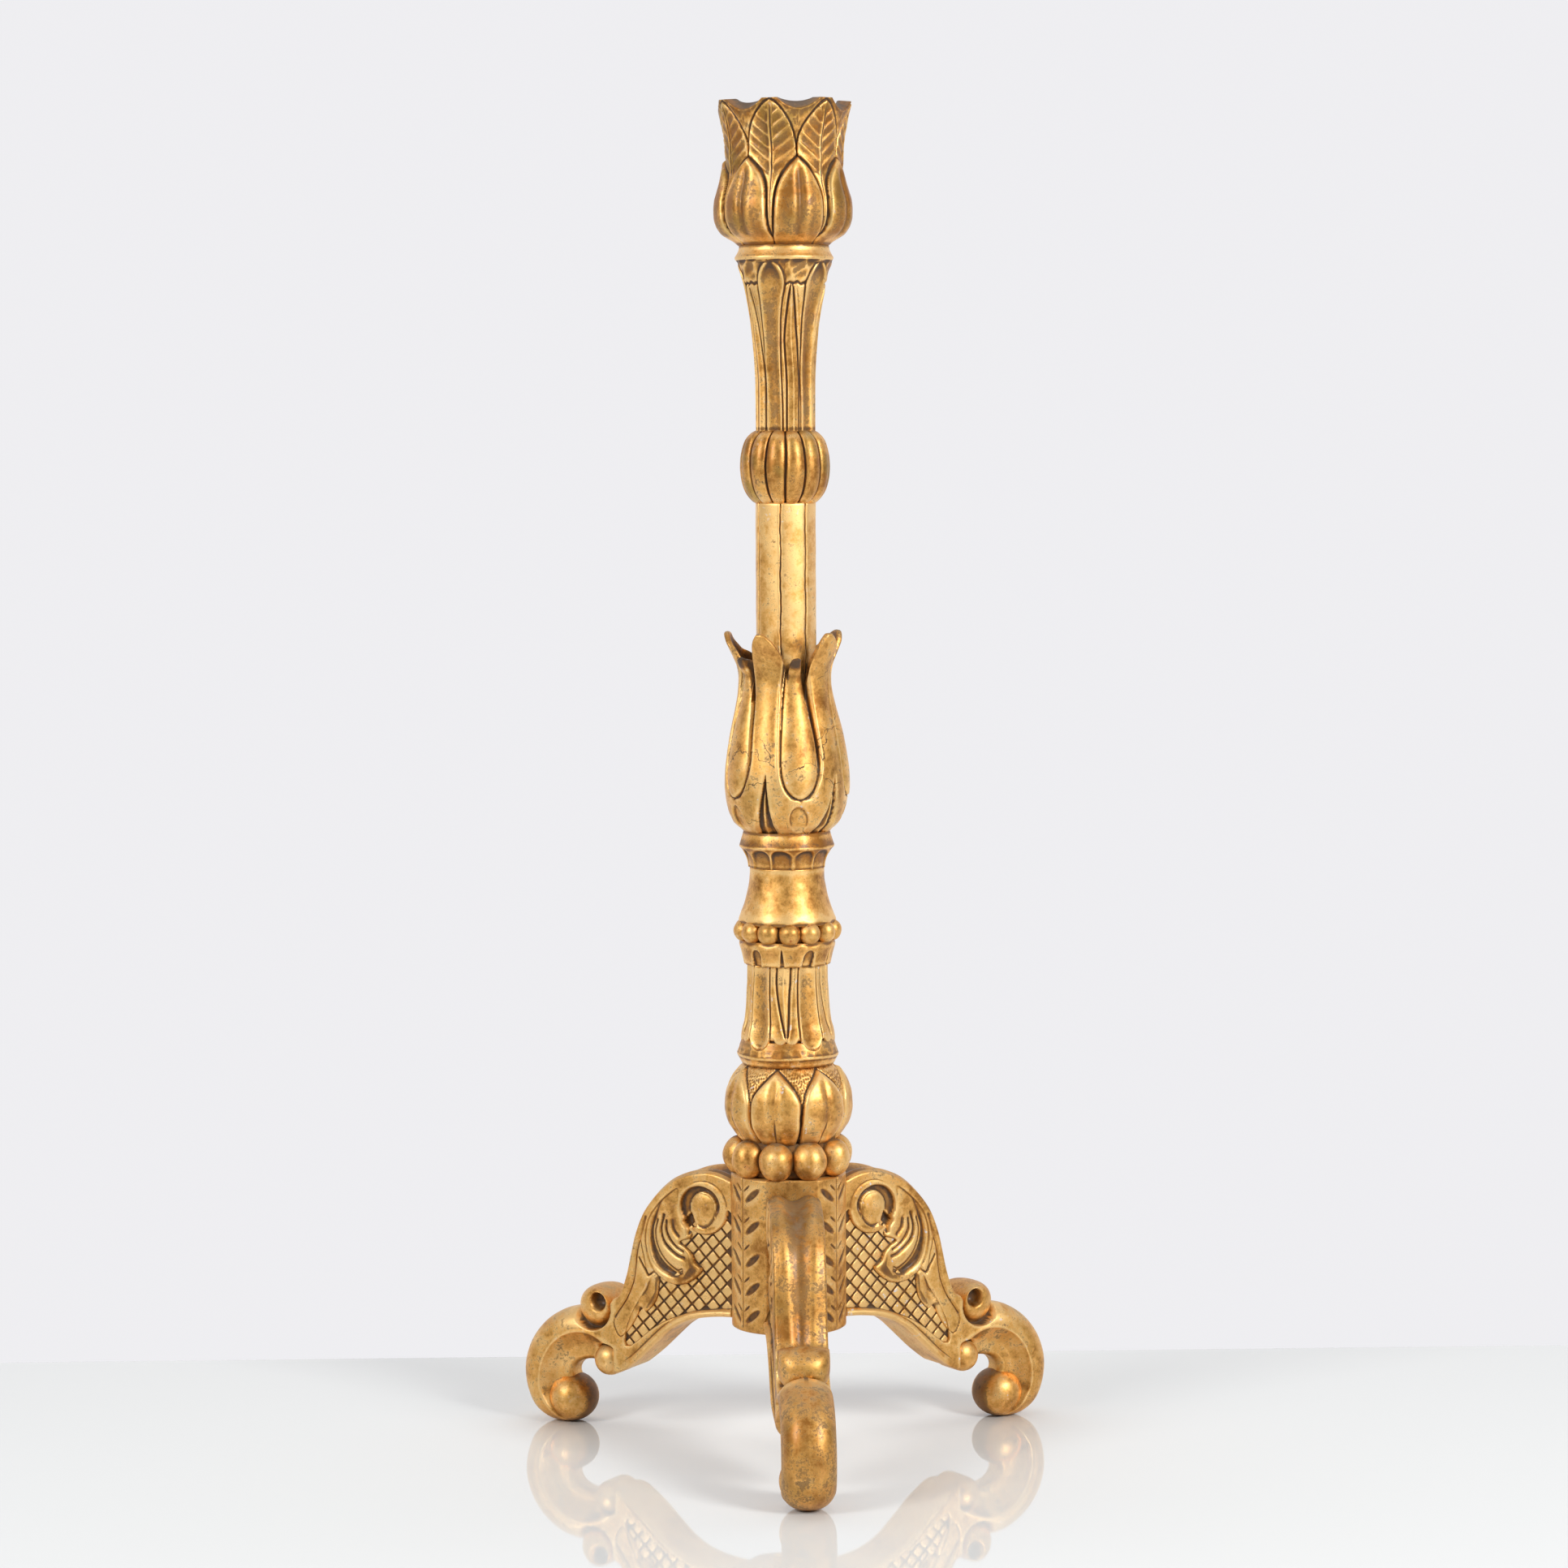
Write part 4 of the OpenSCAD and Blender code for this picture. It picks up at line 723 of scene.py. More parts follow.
def fluted(z, base, turned, dart_turned, tongue, dart, end, length, point, hand):
    """Relief in mm of a fluted block, the distance inside a tongue, the height from the points of
    the darts, and the distance inside a dart. tongue and dart are half widths in mm, turned and
    dart_turned the angles from the middle of each. end is the height of the tongues' tips,
    length that of their elliptic part, point the height of the darts' points, and hand is 1 if
    the tips are at the top and -1 if they are at the bottom."""
    mm, dart_mm = turned * base, np.abs(dart_turned * base)
    past = np.clip(((z - end) * hand + length) / length, 0, 1)
    half = tongue * np.sqrt(np.maximum(1 - past ** 2, 0))
    half = half - 3 * ease(end - 0.3, end + 1.5, z * hand + end * (1 - hand))
    lean = np.clip(np.abs(np.gradient(half, z[:, 0], axis=0)), 0, 2.5)
    on = (half - np.abs(mm)) / np.sqrt(1 + lean ** 2)
    x = np.clip(np.abs(mm) / np.maximum(half, 0.6), 0, 1)
    hollow = 0.1 - (2.9 + 0.5 * past ** 2) * (1 - x ** 2) - 0.9 * ease(0.7, 0.0, on)
    run = np.maximum((point - z) * hand, 0)
    reach = dart * np.clip(run / 42, 0, 1) ** 0.62
    inner = reach - dart_mm
    ground = -0.75 - 0.4 * hill(inner + 2.6, 1.2)
    ground = np.where(inner > 0, -1.5 + 1.1 * ease(1, 0, dart_mm / np.maximum(reach, 0.5)), ground)
    ground = ground - 1.7 * hill(inner + 0.1, 0.75) * ease(0, 2, run)
    ground = ground + 0.5 * hill(dart_mm, 0.6) * ease(1, 6, run)
    return np.where(on > 0, hollow, ground) - 1.3 * hill(on + 0.35, 0.6), on, run, inner


low, top = heights("fluted_column", below=4.4)
tongues = 5
z = np.linspace(low, top, 104)[:, None]
base = faired([(297.6, 36.0), (301.5, 36.1), (304, 36.1), (310, 35.6), (316, 34.6), (322, 33.0), (334, 31.7),
               (346, 31.0), (352, 30.6), (364.6, 30.5)], z) + 0 * az
tongue = faired([(303, 10.2), (311, 9.9), (322, 9.1), (335, 8.5), (350, 7.9), (364.6, 7.5)], z) + 0 * az
sway = np.radians(1.3 * np.sin(z / 13))
turned = np.radians(beside(az, tongues, 29.5)) + sway
dart_turned = np.radians(beside(az, tongues, -6.8 + 2.2 * ease(350, 310, z))) + sway
relief, on, run, inner = fluted(z, base, turned, dart_turned, tongue, dart=5.6, end=302.6, length=11.0,
                                point=311.0, hand=-1)
# the strips between the tongues end in pairs of small round lobes
lobe = np.clip((np.abs(arc(az, tongues, -4, 35.8)) - 4.7) / 4.7, -1, 1)
strip_end = 310.2 - 3.4 * np.sqrt(1 - lobe ** 2)
foot_gap = ease(strip_end + 0.6, strip_end - 0.8, z) * ease(-0.2, -0.9, on)
relief = relief - 3.2 * foot_gap - 1.0 * hill(z - strip_end, 1.0) * ease(-0.2, -0.9, on)
relief = relief - 4.0 * ease(0.0, -0.6, on) * ease(302.4, 301.0, z)
relief = relief - 4.5 * ease(302.3, 301.4, z) * ease(-0.5, 0.5, on)
column = round_skin("tongued_column", az, base + softened(relief, 1), z,
                    relief - 0.5 * ease(1.5, 0.2, np.abs(inner)) * ease(0, 4, run)
                    - 1.6 * hill(z - top, 1.8) - 0.9 * ease(0, 6, on) * ease(309, 303, z))
seat(column, "fluted_column",
     gilding("column gilding", 0.37, grime=0.62, bole=0.1, chips=0.8, bright=0.66, dust=0.2))

# ---------------------------------------------------------------------------------------------
# Notched band. A turned ring that leans outwards, threaded on the dowel from the column up to the
# waist, with five thumbnail cuts over the tongues and five V nicks over the darts.

low, top = heights("notched_band", above=1.0)
nail_top, notches = 377.4, 5
z = np.linspace(low, top, 42)[:, None]
base = faired([(364.6, 32.0), (366, 32.4), (368, 32.8), (374, 34.2), (380, 35.8), (382.5, 35.9)], z) + 0 * az
mm = arc(az, notches, 27, base) - 0.12 * (z - 372)
nail = 1 - (mm / 4.6) ** 2 - (np.maximum(z - 371.5, 0) / (nail_top - 371.5)) ** 2
scoop = ease(0.0, 0.16, nail) * (0.9 + 0.19 * (nail_top - z))
nick = np.abs(arc(az, notches, -9, base))
nick_half = 0.16 * (378.5 - z)
relief = -scoop - 1.7 * ease(nick_half + 0.5, nick_half * 0.3, nick) * ease(379, 376, z)
# the upper edge gives way under each of the thirteen beads
relief = relief - 0.9 * ease(379.0, 382, z + 0.9 * np.cos(np.radians(az - 1.5) * 13))
band = round_skin("cut_band", az, base + relief, z,
                  relief - 1.6 * hill(z - low, 1.4) - 0.5 * ease(378.5, 381.5, z))
seat(band, "notched_band", gilding("band gilding", 0.43, grime=0.8, bole=0.2, chips=0.1, bright=0.45))

# ---------------------------------------------------------------------------------------------
# Bead collar. Thirteen small beads on the same dowel, made like the big ones. Their gilding is thin
# and shows the red bole.

small_beads = bead_ring("small_beads", count=13, first=1.5, ring_r=32.3, wide=8.15, tall=8.3,
                        middle=389.3, core=(6.6, 31.5))
seat(small_beads, "bead_collar",
     gilding("small bead gilding", 0.47, grime=0.75, bole=1.0, chips=0.15, dust=0.25, bright=0.3, green=0.15))

# ---------------------------------------------------------------------------------------------
# Waist. A plain turned vase, burnished bright, with a few soft ripples left by the gouge. A dowel
# goes into each end of it.

low, top = heights("vase_waist", below=0.5, above=-0.5)
z = np.linspace(low, top, 44)[:, None]
base = faired([(395, 36.2), (397, 36.4), (398.5, 36.0), (401, 34.9), (404, 33.8), (407, 32.6), (410, 31.6),
               (416, 30.0), (422, 28.8), (428, 27.9), (434, 27.7), (437, 27.8)], z) + 0 * az
relief = 0.10 * np.sin(6 * np.radians(az) + 0.12 * z) + 0.06 * np.sin(np.radians(az) * 11 + 0.5 * z)
relief = relief - 0.7 * ease(399.5, 396, z + 1.2 * np.cos(np.radians(az - 1.5) * 13))
waist = round_skin("turned_waist", az, base + relief, z,
                   relief - 1.6 * hill(z - low - 0.5, 2.6) - 1.2 * hill(z - top - 0.5, 1.6))
seat(waist, "vase_waist",
     gilding("waist gilding", 0.59, grime=0.34, bole=0.05, chips=0.25, dust=0.1, bright=0.58))

# ---------------------------------------------------------------------------------------------
# Spool collar. A turned ring with a sharp ridge, threaded on the dowel from the waist up to the
# calyx. Eleven flat flutes are gouged up its lower slope, round at the top and not quite evenly
# spaced, which leaves the ridge with a wavy lower edge.

low, top = heights("spool_collar", below=0.5, above=1.8)
ridge, flutes, first_flute = 452.2, 11, -9.3
z = np.linspace(low, top, 62)[:, None]
base = faired([(436.5, 28.7), (440.4, 29.2), (443.8, 30.2), (447, 31.7), (450.2, 33.6), (452.2, 35.25),
               (454, 34.9), (459.5, 33.3), (463.3, 32.2)], z) + 0 * az
uneven = az - 2.8 * np.cos(np.radians(6 * (az + 39)))
mm = arc(uneven, flutes, first_flute, 31)
flute = 1 - np.abs(mm / 8.7) ** 2.4 - (np.maximum(z - 444.5, 0) / 6.8) ** 2
relief = -(0.9 + 1.5 * ease(440, 451, z)) * ease(0, 0.55, flute)
relief = relief - 0.35 * np.sin(np.radians(az) * 6.5 + 0.6) ** 2 * ease(453, 456, z)
# some of the flutes have kept more grime than others
some = ease(0.3, 0.6, np.sin(np.round((uneven - first_flute) * flutes / 360) * 2.4 + 0.6))
spool = round_skin("scalloped_collar", az, base + relief, z,
                   relief * 0.9 + 0.8 * hill(z - ridge, 0.9) - 1.6 * hill(z - low, 1.6)
                   - 1.8 * hill(z - top, 2.2) - 1.1 * ease(0, 0.4, flute) * some)
seat(spool, "spool_collar",
     gilding("spool gilding", 0.61, grime=1.0, bole=0.3, chips=0.25, bright=0.3, dust=0.3))

# ---------------------------------------------------------------------------------------------
# Tulip calyx. Carved from one block: five petals flare away from the shaft, hollowed thin behind
# their tips. Between each two an inner leaf swells lower down into a long drop-shaped boss, with a
# deep cut on its right. Below, the block is slit into five lobes, with a small leaf in each slit.

az = np.arange(0, 360, 0.6)
petals = 5
petal = beside(az, petals, -25)
edge = faired([(-36, 591.5), (-29.6, 589.5), (-27.6, 582), (-26.2, 566), (-25.4, 560), (-23.2, 559),
               (-21.6, 566), (-20.2, 577), (-18.5, 586.5), (-14, 598), (-9, 606), (-5, 608.8), (-1, 608.9),
               (6, 605.5), (13, 599.5), (18, 593), (21.3, 586.5), (23.3, 579), (24.6, 575.5), (25.8, 580),
               (27.8, 587), (31, 590.5), (36, 591.5)], petal)
# the two petals at the back sweep down more broadly on their far side
far_left = faired([(-36, 591.5), (-28, 593.5), (-21, 597.5), (-13, 603), (-6, 607.8), (0, 608.9),
                   (36, 540)], petal)
far_right = faired([(-36, 540), (0, 608.9), (6, 607.5), (13, 603), (21, 598), (28, 594), (36, 591.5)], petal)
edge = np.where((az > 227) & (az < 263), np.maximum(edge, far_left), edge)
edge = np.where((az > 119) & (az < 155), np.maximum(edge, far_right), edge)
low, _ = heights("tulip_calyx", below=-1.8)
notch, pit, pit_r = 560, 541, 26.2
z = np.concatenate([np.linspace(low, notch, 100)[:, None] + 0 * az,
                    notch + np.linspace(0, 1, 40)[1:, None] * (edge - notch)])
base = faired([(461.5, 32.0), (464.5, 34.2), (467.6, 37.9), (470.6, 40.8), (474, 42.3), (477, 43.7),
               (483, 45.2), (489, 46.2), (498, 46.9), (507, 46.6), (519, 45.1), (531, 43.0), (543, 40.5),
               (555, 37.9), (567, 36.0), (577, 35.5), (585, 36.6), (591, 39), (597, 41.8), (603, 44.6),
               (609, 46.2)], z)
centre = 11.4 - 3.0 * ease(515, 585, z)
mm = arc(az, petals, centre, base)
side = np.radians(petal) * base
wide, on = lens([(461.5, -12), (484, -5), (489.4, 0.0), (490.4, 4.4), (492.6, 8.0), (496, 11.0),
                 (501, 13.4), (508, 15.0), (516, 15.4), (526, 14.8), (542, 12.9), (557, 10.9), (570, 9.0),
                 (580, 7.6), (588, 6.8), (592, 6.6)], z, mm)
x = np.clip(np.abs(mm) / np.maximum(wide, 1), 0, 1)
boss = 0.1 - 2.6 * x ** 2.4 - 1.6 * ease(535, 572, z) - 0.6 * hill(on, 0.8)
# the tips of the inner leaves bend out, save for one that stands upright
upright = ease(15, 11, np.abs(az - 83))
tip = 2.6 * ease(578, 587.5, z) * ease(0.2, 2.2, on) * (1 - upright) - 1.6 * upright * ease(560, 590, z)
strap = -1.0 + 0.8 * hill(side, 8) * ease(505, 545, z)
strap = strap + 0.7 * hill(on + 2.2, 1.6) * ease(492, 530, z) * ease(600, 560, z)
strap = strap - 0.9 * ease(8, 14, np.abs(side)) * ease(570, 590, z)
relief = np.where(on > 0, boss + tip, strap) - 1.1 * hill(on + 0.3, 0.6)
relief = relief - 0.7 * hill(on + 0.2, 1.6) * ease(520, 490, z)
# the deep cut on the right of each inner leaf, and a faint one on its left
gap = on + 1.2
right = ease(0.0, 1.0, mm)
relief = relief - right * 5.4 * hill(gap, 1.25 + 0.9 * ease(530, 585, z)) * ease(498, 525, z)
relief = relief - (1 - right) * 2.0 * hill(gap, 0.7) * ease(560, 578, z)
# slits between the lobes, and the small leaf in each
slit = 0.150 * np.maximum(508.5 - z, 0) ** 1.02
lobe_mm = side - 2.7 + 0.085 * (508 - z)
lobes = slit - np.abs(lobe_mm)
in_slit = ease(-0.35, 0.5, lobes) * ease(508.5, 506, z)
small_leaf = 2.6 * np.clip(1 - np.abs(lobe_mm) / (0.55 * slit + 0.05), 0, 1) * ease(500, 488, z)
relief = relief * (1 - in_slit) + in_slit * (-4.9 + small_leaf)
lobe_edge = ease(-3.2, -0.2, lobes) * (1 - in_slit)
relief = relief - 1.8 * lobe_edge * ease(508.5, 500, z) * ease(482, 466, z) ** 0.5
# a low oval facet at the foot of each lobe
oval_mm = arc(az, petals, 11.6, base) + 0.12 * (z - 472)
oval = 1 - (oval_mm / 7.8) ** 2 - ((z - 474.5) / 10.2) ** 2
facet = 2.3 * ease(0, 0.22, oval) * ease(462, 472, z) * (1 - in_slit)
relief = relief - facet
# the petals' turned-over edges, their inner faces and the pit round the shaft
outer_r = base + relief
thick = 3.6 + 1.2 * hill(petal + 3, 12)
inner_top = outer_r[-1] - np.minimum(thick, 0.3 * (outer_r[-1] - 24))
turn_over = np.linspace(0, np.pi, 7)[1:-1, None]
rim_r = (outer_r[-1] + inner_top) / 2 + (outer_r[-1] - inner_top) / 2 * np.cos(turn_over)
rim_z = edge + 0.45 * (outer_r[-1] - inner_top) * np.sin(turn_over)
fall = np.linspace(0, 1, 18)[1:, None]
inner_z = edge - (edge - pit) * fall
inner_r = pit_r + (inner_top - pit_r) * (1 - ease(0, 0.68, fall)) ** 1.15
floor_r = np.full((1, len(az)), 8.0)
# the tips of the inner leaves are dark on top, where they bend out
capped = (np.abs(petal) > 26) * (1 - upright)
# in_slit darkens the slits between the lobes still more than their depth does: painted shade in the deep gaps
marks = hollows(relief + 0.75 * facet - 1.6 * hill(z - low, 2.2), little=5, lot=28) - 0.55 * in_slit
marks = marks - 1.3 * ease(583, 586.5, z) * capped
marks = np.concatenate([np.clip(marks, -1, 1), -0.1 - 0.8 * capped + 0 * rim_r,
                        -0.75 - 0.2 * ease(0.05, 0.5, fall) + 0 * az, 0 * floor_r - 1])
radius = np.concatenate([outer_r, rim_r, inner_r, floor_r])
height = np.concatenate([z, rim_z, inner_z, pit + 0 * floor_r])
tulip = closed_skin("petalled_calyx", about_stem(az, radius, height), marks)
seat(tulip, "tulip_calyx",
     gilding("petal gilding", 0.67, grime=0.55, bole=0.2, chips=0.8, dust=0.75, green=0.18, bright=0.6,
             cracks=0.9))

# ---------------------------------------------------------------------------------------------
# Shaft. A plain post planed to seven slightly bowed sides, with a V cut run down each corner. Its
# turned tenons go down into the calyx and up through the knop into the neck.

az = np.arange(0, 360, 0.75)
# only the length that shows, from the calyx's pit up to the knop
low, top = pit + 0.5, heights("knop")[0] + 1.0
z = np.linspace(low, top, 84)[:, None]
sides, first_corner = 7, -11.7
bowed = 22.75 - 0.85 * np.cos(np.radians(beside(az, sides, first_corner + 180 / sides)) * sides / 2)
mm = np.abs(arc(az, sides, first_corner, 22) + 0.25 * np.sin(z / 6) + 0.12 * np.sin(z / 1.7))
depth = 1.2 + 0.25 * np.sin(z / 11 + np.radians(az))
relief = -depth * hill(mm, 0.62) - 0.3 * hill(mm, 1.5) + 0.06 * np.sin(z * 0.21 + 3 * np.radians(az))
# one dark smudge low on the front
smudge = hill(z - 600, 12) * hill(beside(az, 1, 24), 20)
post = round_skin("seven_sided_post", az, bowed + relief, z,
                  relief - 1.3 * hill(z - top, 3) - 1.5 * smudge - 0.8 * hill(z - 584, 6))
seat(post, "shaft", gilding("post gilding", 0.71, grime=0.24, bole=0.1, chips=0.45, dust=0.1, bright=0.88))

# ---------------------------------------------------------------------------------------------
# Knop. A turned ball, bored and slipped over the shaft's upper tenon, and carved with thirteen
# plump lobes, their ends rounded off against the post.

low, top = heights("knop", below=0.5, above=0.5)
middle, lobes = 731.5, 13
z = np.linspace(low, top, 104)[:, None]
base = faired([(704.5, 19.5), (706, 23.2), (708.5, 26.0), (711, 28.0), (714, 29.8), (717, 31.0),
               (720, 31.9), (726, 33.0), (732, 33.4), (738, 33.1), (744, 32.1), (750, 30.3), (753, 28.7),
               (756, 26.0), (758, 23.2), (759.5, 19.5)], z) + 0 * az
x = beside(az, lobes, -1 + 180 / lobes) * lobes / 180 + 0.05 * np.sin(z / 8 + np.radians(az) * 4)
ends = np.clip(np.abs(z - middle) / 28, 0, 1)
lobe = 1 - np.sqrt(1 - 0.985 * np.clip(x, -1, 1) ** 2)
relief = -(4.1 + 4.0 * ends ** 5) * lobe - 0.9 * hill(1 - np.abs(x), 0.09)
knop = round_skin("lobed_knop", az, np.maximum(base + relief, 18.5), z,
                  relief * 0.8 + 0.3 * hill(x, 0.4) - 1.3 * ease(0.8, 1, ends))
seat(knop, "knop",
     gilding("knop gilding", 0.83, grime=1.15, bole=0.3, chips=0.3, dust=0.45, green=0.5, bright=0.22))

# ---------------------------------------------------------------------------------------------
# Neck. A turned block on the shaft's upper tenon, with the column's pattern turned over: five
# hollowed tongues that end in arches under a sharp ridge, with darts between them. The ground over
# the darts is chipped away with a gouge.

low, top = heights("neck", below=1.0)
tongues = 5
z = np.linspace(low, top, 200)[:, None]
base = faired([(758, 22.4), (795, 22.6), (803, 22.9), (812, 23.4), (821, 24.2), (830, 25.0), (839, 26.1),
               (848, 27.6), (857, 29.5), (865.8, 31.7), (874.6, 34.2), (882.4, 36.3), (884.2, 36.4),
               (887.6, 34.8), (890.6, 33.4), (893.6, 32.9)], z) + 0 * az
tongue = faired([(758, 6.2), (790, 6.2), (816, 6.5), (835, 7.3), (853, 9.0), (866, 10.9),
                 (881, 11.2)], z) + 0 * az
lean = -3.0 * ease(770, 815, z) + 5.0 * ease(835, 875, z)
turned = np.radians(beside(az - lean, tongues, -22.5))
dart_turned = np.radians(beside(az + 6.5 * ease(790, 835, z), tongues, 15.7))
relief, on, run, inner = fluted(z, base, turned, dart_turned, tongue, dart=5.2, end=881.3, length=15.5,
                                point=866.0, hand=1)
# the chipped ground over the darts, each field with facets of its own
mm = arc(az, tongues, 14, base)
ledge = 866.2 - 0.10 * np.abs(mm) + 0.5 * np.sin(mm)
other = np.round((az - 14) / 72) * 3.3
along, across = 0.8 * mm + 0.6 * (z - 870), 0.8 * (z - 870) - 0.6 * mm
rough = -1.9 + 2.3 * dents(along / 11.0 + other, across / 7.5 - other)
over_dart = ease(-0.5, 0.5, z - ledge) * ease(-0.2, -0.9, on)
below_ridge = ease(884.2, 882.2, z)
relief = relief + (rough - relief) * over_dart - 1.9 * hill(z - ledge, 1.1) * ease(-0.2, -0.9, on)
relief = (relief - 0.8 * hill(on + 0.9, 0.8) * ease(850, 866, z)) * below_ridge
# the upper ends of the tongues are painted darker: partly painted shade where the flared hollows face down,
# partly brown patina
neck = round_skin("tongued_neck", az, np.minimum(base + softened(relief, 1), 36.4), z,
                  relief + 0.8 * hill(z - 884, 0.9) - 1.9 * hill(z - top, 2.4) - 0.5 * hill(z - 760, 1.5)
                  - 1.3 * ease(0, 5, on) * ease(862, 878, z)
                  - 0.5 * ease(1.2, 0.2, np.abs(inner)) * ease(0, 4, run))
seat(neck, "neck",
     gilding("neck gilding", 0.89, grime=0.85, bole=0.35, chips=0.25, dust=0.25, green=0.12, bright=0.52))

# ---------------------------------------------------------------------------------------------
# Candle cup. Seven veined leaves stand up to the rim, which is cut away between their tips; seven
# plump petals are wrapped round them below. Inside is a plain bored socket for a pillar candle, and
# a dowel joins the cup to the neck.

az = np.arange(0, 360, 0.6)
low, _ = heights("candle_cup")
flare, leaves, first_leaf = 984, 7, -14
socket_r, socket_floor = 38.5, 938
from_valley = np.abs(arc(az, leaves, first_leaf + 180 / leaves, 46))
valley = np.maximum(1 - (from_valley / 15.6) ** 2, 0)
lip = 998.4 - 8.2 * valley + 0.4 * np.sin(np.radians(az) * 3)
z = np.concatenate([np.linspace(low, flare, 126)[:, None] + 0 * az,
                    flare + np.linspace(0, 1, 18)[1:, None] * (lip - flare)])
base = faired([(893.6, 33.5), (896.5, 36.9), (899.5, 42.0), (902, 45.8), (905, 48.2), (908, 49.9),
               (914, 51.5), (920, 51.7), (926, 51.2), (932, 49.6), (938, 47.9), (944, 46.6), (949.6, 45.6),
               (954, 44.9), (958, 44.6), (966, 44.9), (972, 45.6), (978, 46.7), (984, 47.9), (990, 49.3),
               (996, 51.0), (1000, 52.2)], z)
sway = 0.5 * np.sin(z / 9 + 2 * np.radians(az))
leaf_mm = arc(az, leaves, first_leaf, base) + sway * ease(950, 965, z)
petal_mm = arc(az, leaves, 12, base) + 0.4 * np.sin(z / 14 + 3 * np.radians(az))
pitch = np.pi / leaves * base
_, on_leaf = lens([(893.6, 1.5), (930, 2.4), (940, 5.2), (948, 11), (954, 16), (958, 19.3), (963, 19.5),
                   (967.6, 18.9), (973.6, 17.6), (980, 15.2), (986, 11.6), (991, 7.6), (995, 3.4),
                   (997, 0.2), (1000, -3)], z, leaf_mm)
petal_w, on_petal = lens([(893.6, 15.2), (899.5, 17.8), (907, 19.2), (914, 19.5), (924.5, 19.0),
                          (932, 17.4), (939, 14.6), (945, 11), (950, 6.8), (953.5, 3), (956, 0), (958, -4),
                          (962, -9)], z, petal_mm)
# the leaves: slanting veins on both sides of a midrib
stroke = (z - 0.78 * np.abs(leaf_mm) + 1.6 * np.sign(leaf_mm)) / 8.8 % 1
vein = 1 - np.abs(2 * stroke - 1) ** 3
veined = ease(936, 948, z) * ease(995, 990, z) * ease(0.5, 2.4, np.abs(leaf_mm)) * ease(-0.2, 1.8, on_leaf)
blade = -0.9 - 1.25 * vein * veined - 1.1 * hill(leaf_mm - 0.4, 0.55) * ease(996, 987, z)
blade = blade + 0.45 * hill(leaf_mm + 1.2, 0.8) * ease(990, 980, z) - 0.35 * ease(5, 17, np.abs(leaf_mm))
blade = blade - 0.5 * hill(on_leaf, 0.9) * veined - 2.4 * ease(958, 944, z)
# the punched ground between them, and the plump petals with a crease down their middles
ground = -1.9 - 1.0 * ease(985, 962, z) + 0.55 * dents(leaf_mm / 4.4, z / 5.2)
x = np.clip(np.abs(petal_mm) / np.maximum(petal_w, 1), 0, 1)
hollow = 1.5 * hill(petal_mm, 2.6) * ease(954, 940, z) * ease(896, 903, z)
plump = -1.7 * x ** 3 - hollow + 0.3 * hill(np.abs(petal_mm) - 6, 3) - 0.9 * hill(on_petal, 1.0)
strip = -3.3 - 0.9 * hill(leaf_mm, 0.5) - 0.25 * np.abs(leaf_mm)
relief = np.where(on_leaf > 0, blade, ground) - 1.7 * hill(on_leaf + 0.5, 0.95) * ease(954, 964, z)
relief = relief + (strip - relief) * ease(948, 938, z)
below = relief - 1.9 * hill(on_petal + 0.9, 1.2) * ease(960, 954, z)
relief = below + (plump - below) * ease(-0.55, 0.25, on_petal)
relief = relief - 1.4 * hill(np.abs(leaf_mm) - pitch, 0.9) * ease(953, 957, z) * ease(974, 966, z)
# the notched rim, the bored socket and its floor
radius = base + relief
marks = relief + hollow * 0.8 * ease(-0.5, 0.3, on_petal) + 0.8 * vein * veined * ease(0.3, -0.5, on_petal)
sill = np.minimum(lip + 5.0 * valley + 0.7, 999.2)
ring_f = np.linspace(0, 1, 7)[1:, None]
lip_r = radius[-1] + (40.6 - radius[-1]) * ring_f
lip_z = lip + (sill - lip) * ring_f ** 0.9
deep_r = np.array([39.3] + 6 * [socket_r] + [37.6, 20.0, 4.0])[:, None] + 0 * az
down = np.array([986, 974, 960, 946, socket_floor + 0.4] + 3 * [socket_floor])[:, None]
deep_z = np.concatenate([sill - np.array([[0.4], [2.0]]), down + 0 * az])
radius = np.concatenate([radius, lip_r, deep_r])
height = np.concatenate([z, lip_z, deep_z])
marks = hollows(marks + 0.5 * hill(z - lip, 1.0) - 2.0 * hill(z - low, 2.6), little=6, lot=34)
marks = np.concatenate([marks, -0.45 - 0.5 * ring_f + 0.35 * (1 - valley), -0.9 + 0 * deep_r])
cup = closed_skin("leafed_cup", about_stem(az, radius, height), marks)
seat(cup, "candle_cup",
     gilding("cup gilding", 0.97, grime=1.1, bole=0.4, chips=0.25, dust=0.2, green=0.4, bright=0.22))

# ---------------------------------------------------------------------------------------------
# Carried-over dowels. Plain turned beech pins that nobody sees once the stand is glued up: straight
# grain, no finish.

wood = bpy.data.materials.new("bare beech")
wood.use_nodes = True
nodes, links = wood.node_tree.nodes, wood.node_tree.links
grain = nodes.new("ShaderNodeTexNoise")
grain.inputs["Scale"].default_value = 90
grain.inputs["Detail"].default_value = 5
stretch = nodes.new("ShaderNodeMapping")
stretch.inputs["Scale"].default_value = (1, 1, 0.08)
links.new(nodes.new("ShaderNodeTexCoord").outputs["Object"], stretch.inputs["Vector"])
links.new(stretch.outputs[0], grain.inputs["Vector"])
ramp = nodes.new("ShaderNodeValToRGB")
ramp.color_ramp.elements[0].color = (0.30, 0.17, 0.08, 1)
ramp.color_ramp.elements[1].color = (0.58, 0.40, 0.23, 1)
links.new(grain.outputs["Fac"], ramp.inputs["Fac"])
links.new(ramp.outputs["Color"], nodes["Principled BSDF"].inputs["Base Color"])
nodes["Principled BSDF"].inputs["Roughness"].default_value = 0.65
for node_name in ("cup_dowel", "calyx_dowel", "waist_dowel", "column_dowel", "leg_dowels"):
    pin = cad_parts[node_name]
    pin.data.materials.clear()
    pin.data.materials.append(wood)

